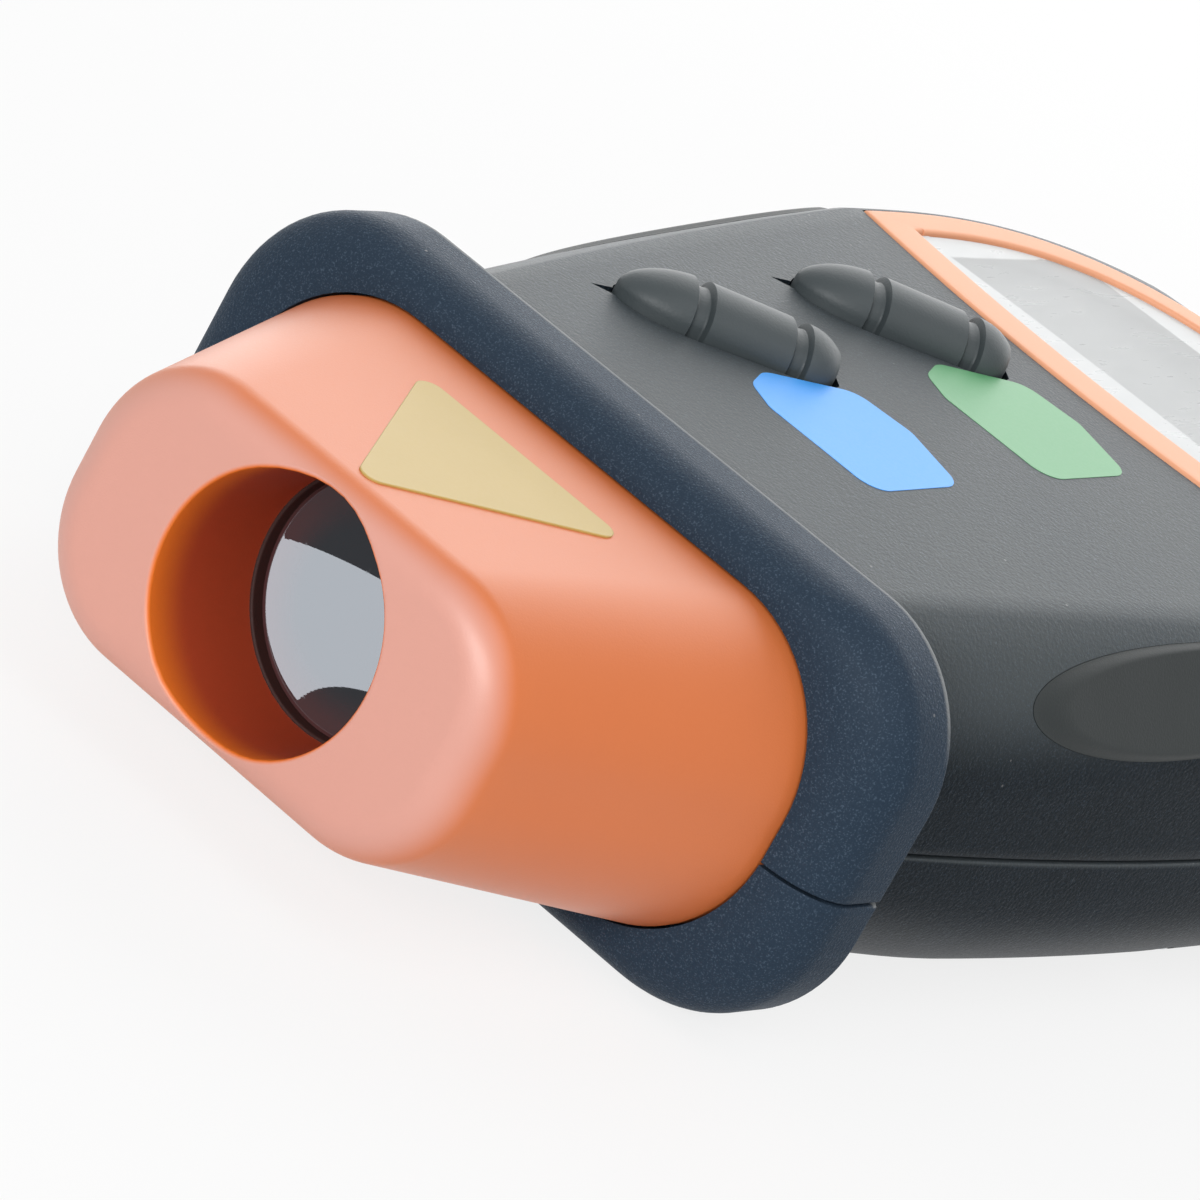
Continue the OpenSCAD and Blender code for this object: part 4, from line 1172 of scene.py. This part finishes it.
class TACH_OT_prints(bpy.types.Operator):
    """Lay the bare sticker on the nose and the coloured fields beside the keys"""

    bl_idname = "tach.prints"
    bl_label = "Sticker and fields"

    FIELD = ((7.6, -1.4), (8.3, -3.0), (10.2, -3.9), (18.4, -3.9), (18.4, 3.4), (13.6, 5.0), (10.0, 4.6))
    UNIT = 0.001

    def field(self, y):
        s = sizes()
        outline = swept(np.asarray(self.FIELD) * self.UNIT, s.field_r, 16) + [-s.key_x, y]
        middle = outline.mean(0)
        rims = [mix(middle, outline, t) for t in np.linspace(0.05, 1, 16)]
        top = [np.column_stack([p, face_at(p[:, 0], p[:, 1]) + 0.00004]) for p in rims]
        low = [np.column_stack([p, face_at(p[:, 0], p[:, 1]) - 0.00005]) for p in rims[::-1]]
        return skin(top + low)

    def sticker(self):
        s = sizes()
        r = s.sticker_r
        outline = swept([(0, r - s.sticker_l), (s.sticker_w / 2 - r, -r), (r - s.sticker_w / 2, -r)], r, 12)
        slope = math.atan2(s.nose_back_h - s.nose_front_h, 2 * s.nose_l)
        turn = Matrix.Rotation(slope, 3, "X")
        rows = []
        for scale, z in ((1, -0.00005), (1, 0.7 * s.sticker_t), (0.992, s.sticker_t), (0.5, s.sticker_t),
                         (0.05, s.sticker_t)):
            flat = mix(outline.mean(0), outline, scale) + [0, s.sticker_y]
            rows.append([turn @ Vector((x, y, z)) + Vector((0, 0, s.nose_front_h / 2)) for x, y in flat])
        return skin(rows)

    def execute(self, context):
        s, c = sizes(), colours()
        tag = new_object("nose_sticker_sheet", [self.sticker()])
        finish_piece(tag, satin_finish("sticker_yellow", c.sticker, 0.34, 0.0003), "case", "sticker",
                     "nose_sticker", crease=SHEET_CREASE)
        for name, y, shade in (("mem_field", s.mem_y, c.blue_field), ("test_field", s.test_y, c.green_field)):
            field = new_object(name, [self.field(y)])
            finish_piece(field, satin_finish(name + "_print", shade, 0.4, 0.0003), "case", "case_upper")
        return {"FINISHED"}


class TACH_OT_grips(bpy.types.Operator):
    """Build the two dished grip pads on the shoulders"""

    bl_idname = "tach.grips"
    bl_label = "Grip pads"

    def execute(self, context):
        finish = rubber_finish("grip_rubber", colours().grip, 0.00018, 0.5)
        for name, side in (("left", -1), ("right", 1)):
            pad = new_object("grip_pad_" + name, [grip_skin(side, sizes().grip_seat)])
            finish_piece(pad, finish, "case", "grip", "grip_" + name, crease=SHELL_CREASE)
        return {"FINISHED"}


class TACH_OT_door(bpy.types.Operator):
    """Build the sliding battery door with its finger ridges, ribs and hooks"""

    bl_idname = "tach.door"
    bl_label = "Battery door"

    RIDGE, RIDGE_STEP = (0.006, 0.0009, 0.0005), 0.002  # half length, width and depth of a finger ridge
    RIB_X, RIB_T, RIB_Y = 0.006, 0.0012, (0.0832, 0.1072)
    HOOK_L, HOOK_T, HOOK_ROOT, HOOK_REACH = 0.006, 0.001, 0.0015, 0.0012
    SINK = 0.0004  # depth to which ribs and hooks run into the plate

    def execute(self, context):
        s = sizes()
        x, low = s.door_w / 2, s.door_clear - AXIS_Z
        inner = low + s.door_t
        door = new_object("battery_door_plate", [housing("whole")])
        limit = block((-x, s.door_y, low), (x, TOTAL_L + 0.001, inner), 0.0006)
        carve(door, [new_object("limit", [limit])], "INTERSECT")
        half, width, depth = self.RIDGE
        ridges = [block((-half, y, -FAR), (half, y + width, low + depth), 0.0003)
                  for y in s.door_y + 0.008 + self.RIDGE_STEP * np.arange(6)]
        carve(door, [new_object("ridges", ridges)])
        root, hook_low = inner - self.SINK, s.wall - AXIS_Z + s.slide
        hook_high = hook_low + self.HOOK_T
        parts = []
        for side in (-1, 1):
            rib = side * self.RIB_X
            (y0, y1), t = self.RIB_Y, self.RIB_T / 2
            parts.append(block((rib - t, y0, root), (rib + t, y1, hook_high)))
            for y in (s.door_y + 0.004, wide_y() + 0.010):
                for reach, z0, z1 in ((x, root, hook_low + 0.0002),
                                      (x + s.slide + self.HOOK_REACH, hook_low, hook_high)):
                    x0, x1 = sorted((side * (x - self.HOOK_ROOT), side * reach))
                    parts.append(block((x0, y, z0), (x1, y + self.HOOK_L, z1)))
        carve(door, [new_object("hooks", [part]) for part in parts], "UNION")
        finish_piece(door, shell_finish(), "door", "door", "battery_door")
        return {"FINISHED"}


class TACH_OT_screws(bpy.types.Operator):
    """Build the four case screws with cross recesses"""

    bl_idname = "tach.screws"
    bl_label = "Case screws"

    def execute(self, context):
        s = sizes()
        seat = s.head_z - AXIS_Z
        low, r, e = seat - s.head_t, s.head_d / 2, 0.0004
        profile = [(0.0002, low - 0.0001), (r * 0.6, low)]
        profile += [(r - e + e * math.sin(a), low + e - e * math.cos(a))
                    for a in np.radians(np.linspace(10, 90, 6))]
        tip = -s.split_drop + 0.0076
        profile += [(r, seat), (s.screw_d / 2, seat), (s.screw_d / 2, tip - 0.001), (0.0004, tip)]
        heads = [skin(np.asarray(turned(profile, 48, "z")) + [x, y, 0]) for x, y in POSTS]
        screws = new_object("case_screw_set", heads)
        arm, half = 0.0017, 0.0003
        for dx, dy in ((arm, half), (half, arm)):
            slots = [block((x - dx, y - dy, low - 0.001), (x + dx, y + dy, low + 0.0009)) for x, y in POSTS]
            carve(screws, [new_object("slots", slots)])
        finish_piece(screws, metal_finish("plated_screw", colours().steel, 0.28, 0.0002), "case", "metal",
                     "case_screws")
        return {"FINISHED"}


class TACH_OT_inside(bpy.types.Operator):
    """Paint the CAD pieces inside the case"""

    bl_idname = "tach.inside"
    bl_label = "Inside"

    def execute(self, context):
        c = colours()
        black = rubber_finish("inner_black", (0.012, 0.012, 0.013), 0.0003, 0.5)
        brass = metal_finish("turned_brass", c.brass, 0.24, 0.0002)
        steel = metal_finish("plated_steel", c.steel, 0.3, 0.0002)
        finishes = {
            "optics_holder": black, "laser_module": brass,
            "photo_sensor": satin_finish("sensor", (0.03, 0.015, 0.04)), "main_board": board_finish(),
            "controller_chip": black, "crystal": steel,
            "lcd_panel": satin_finish("display_panel", c.display, 0.2),
            "contact_strips": rubber_finish("contact_strip", (0.35, 0.19, 0.17), 0.0003, 0.5),
            "mem_plunger": brass, "test_plunger": brass, "mem_switch": black, "test_switch": black,
            "battery": satin_finish("battery_can", c.battery, 0.3), "battery_snap": black,
            "board_screws": steel,
        }
        for node, finish in finishes.items():
            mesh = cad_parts[node].data
            mesh.materials.clear()
            mesh.materials.append(finish)
        return {"FINISHED"}


class TACH_OT_stage(bpy.types.Operator):
    """Set the floor, the lights, the background and the camera"""

    bl_idname = "tach.stage"
    bl_label = "Stage"

    def axes(self):
        v = bpy.context.scene.tach_view
        a, e = v.azimuth, v.elevation
        back = Vector((math.sin(a) * math.cos(e), -math.cos(a) * math.cos(e), math.sin(e)))
        right = (-back).cross(Vector((0, 0, 1))).normalized()
        up = right.cross(-back)
        c, s = math.cos(v.roll), math.sin(v.roll)
        return c * right + s * up, c * up - s * right, back

    def camera(self):
        v = bpy.context.scene.tach_view
        right, up, back = self.axes()
        data = bpy.data.cameras.new("photo_camera")
        data.lens = v.lens_mm
        data.sensor_width = SENSOR_MM
        data.clip_start, data.clip_end = 0.01, 10
        camera = add_object("photo_camera", data)
        place = right * v.right + up * v.up + back * v.distance + Vector((0, FRONT_Y, AXIS_Z))
        turn = Matrix((right, up, back)).transposed().to_4x4()
        camera.matrix_world = Matrix.Translation(place) @ turn
        bpy.context.scene.camera = camera

    def lamp(self, name, direction, power, size, distance=0.75, height=None):
        data = bpy.data.lights.new(name, "AREA")
        data.energy, data.shape = power, "RECTANGLE"
        data.size, data.size_y = size, height or size
        lamp = add_object(name, data)
        aim = Vector((0, 0, AXIS_Z))
        lamp.location = aim + direction.normalized() * distance
        lamp.rotation_mode = "QUATERNION"
        lamp.rotation_quaternion = direction.to_track_quat("Z", "Y")

    def floor(self):
        points, faces = skin(turned([(r, -FLOOR_GAP) for r in np.linspace(FLOOR_R, 0.01, 12)], 96, "z"))
        mesh = bpy.data.meshes.new("floor")
        mesh.from_pydata(points.tolist(), [], faces[:-2] + faces[-1:])
        mesh.materials.append(floor_finish())
        floor = add_object("floor", mesh)

    def background(self):
        world = bpy.data.worlds.new("studio")
        world.use_nodes = True
        f = Finish("studio", world.node_tree)
        ambient = bpy.context.scene.tach_view.ambient
        strength = ambient + (1 - ambient) * f.seen()
        light = f.node("ShaderNodeBackground", None, {"Color": (1, 1, 1), "Strength": strength})
        f.done(light, "ShaderNodeOutputWorld")
        bpy.context.scene.world = world

    def execute(self, context):
        v = context.scene.tach_view
        context.scene.view_settings.view_transform = "Standard"
        self.floor()
        self.background()
        self.camera()
        self.lamp("back_light", Vector((-0.35, 0.84, 0.42)), v.back_light, 0.8, 0.55)
        self.lamp("overhead_light", Vector((0.45, -0.25, 0.85)), v.key_light, 0.5)
        self.lamp("front_light", Vector((0.25, -0.9, 0.35)), v.fill_light, 0.42, height=0.18)
        return {"FINISHED"}


OPERATORS = (TACH_OT_shells, TACH_OT_nose, TACH_OT_optics, TACH_OT_keys, TACH_OT_display, TACH_OT_prints,
             TACH_OT_grips, TACH_OT_door, TACH_OT_screws, TACH_OT_inside, TACH_OT_stage)


class TACH_PT_pieces(bpy.types.Panel):
    """Lists the pieces of the tachometer"""

    bl_idname = "TACH_PT_pieces"
    bl_label = "Laser tachometer"
    bl_space_type = "VIEW_3D"
    bl_region_type = "UI"
    bl_category = "Tachometer"

    def draw(self, context):
        for operator in OPERATORS:
            self.layout.operator(operator.bl_idname)


GROUPS = {"tach_sizes": TachometerSizes, "tach_colours": TachometerColours, "tach_view": TachometerView}


def register():
    for cls in (*GROUPS.values(), *OPERATORS, TACH_PT_pieces):
        bpy.utils.register_class(cls)
    for name, group in GROUPS.items():
        setattr(bpy.types.Scene, name, PointerProperty(type=group))


def unregister():
    for name in GROUPS:
        delattr(bpy.types.Scene, name)
    for cls in reversed((*GROUPS.values(), *OPERATORS, TACH_PT_pieces)):
        bpy.utils.unregister_class(cls)


def main():
    register()
    for operator in OPERATORS:
        group, name = operator.bl_idname.split(".")
        getattr(getattr(bpy.ops, group), name)()


if __name__ == "__main__":
    main()
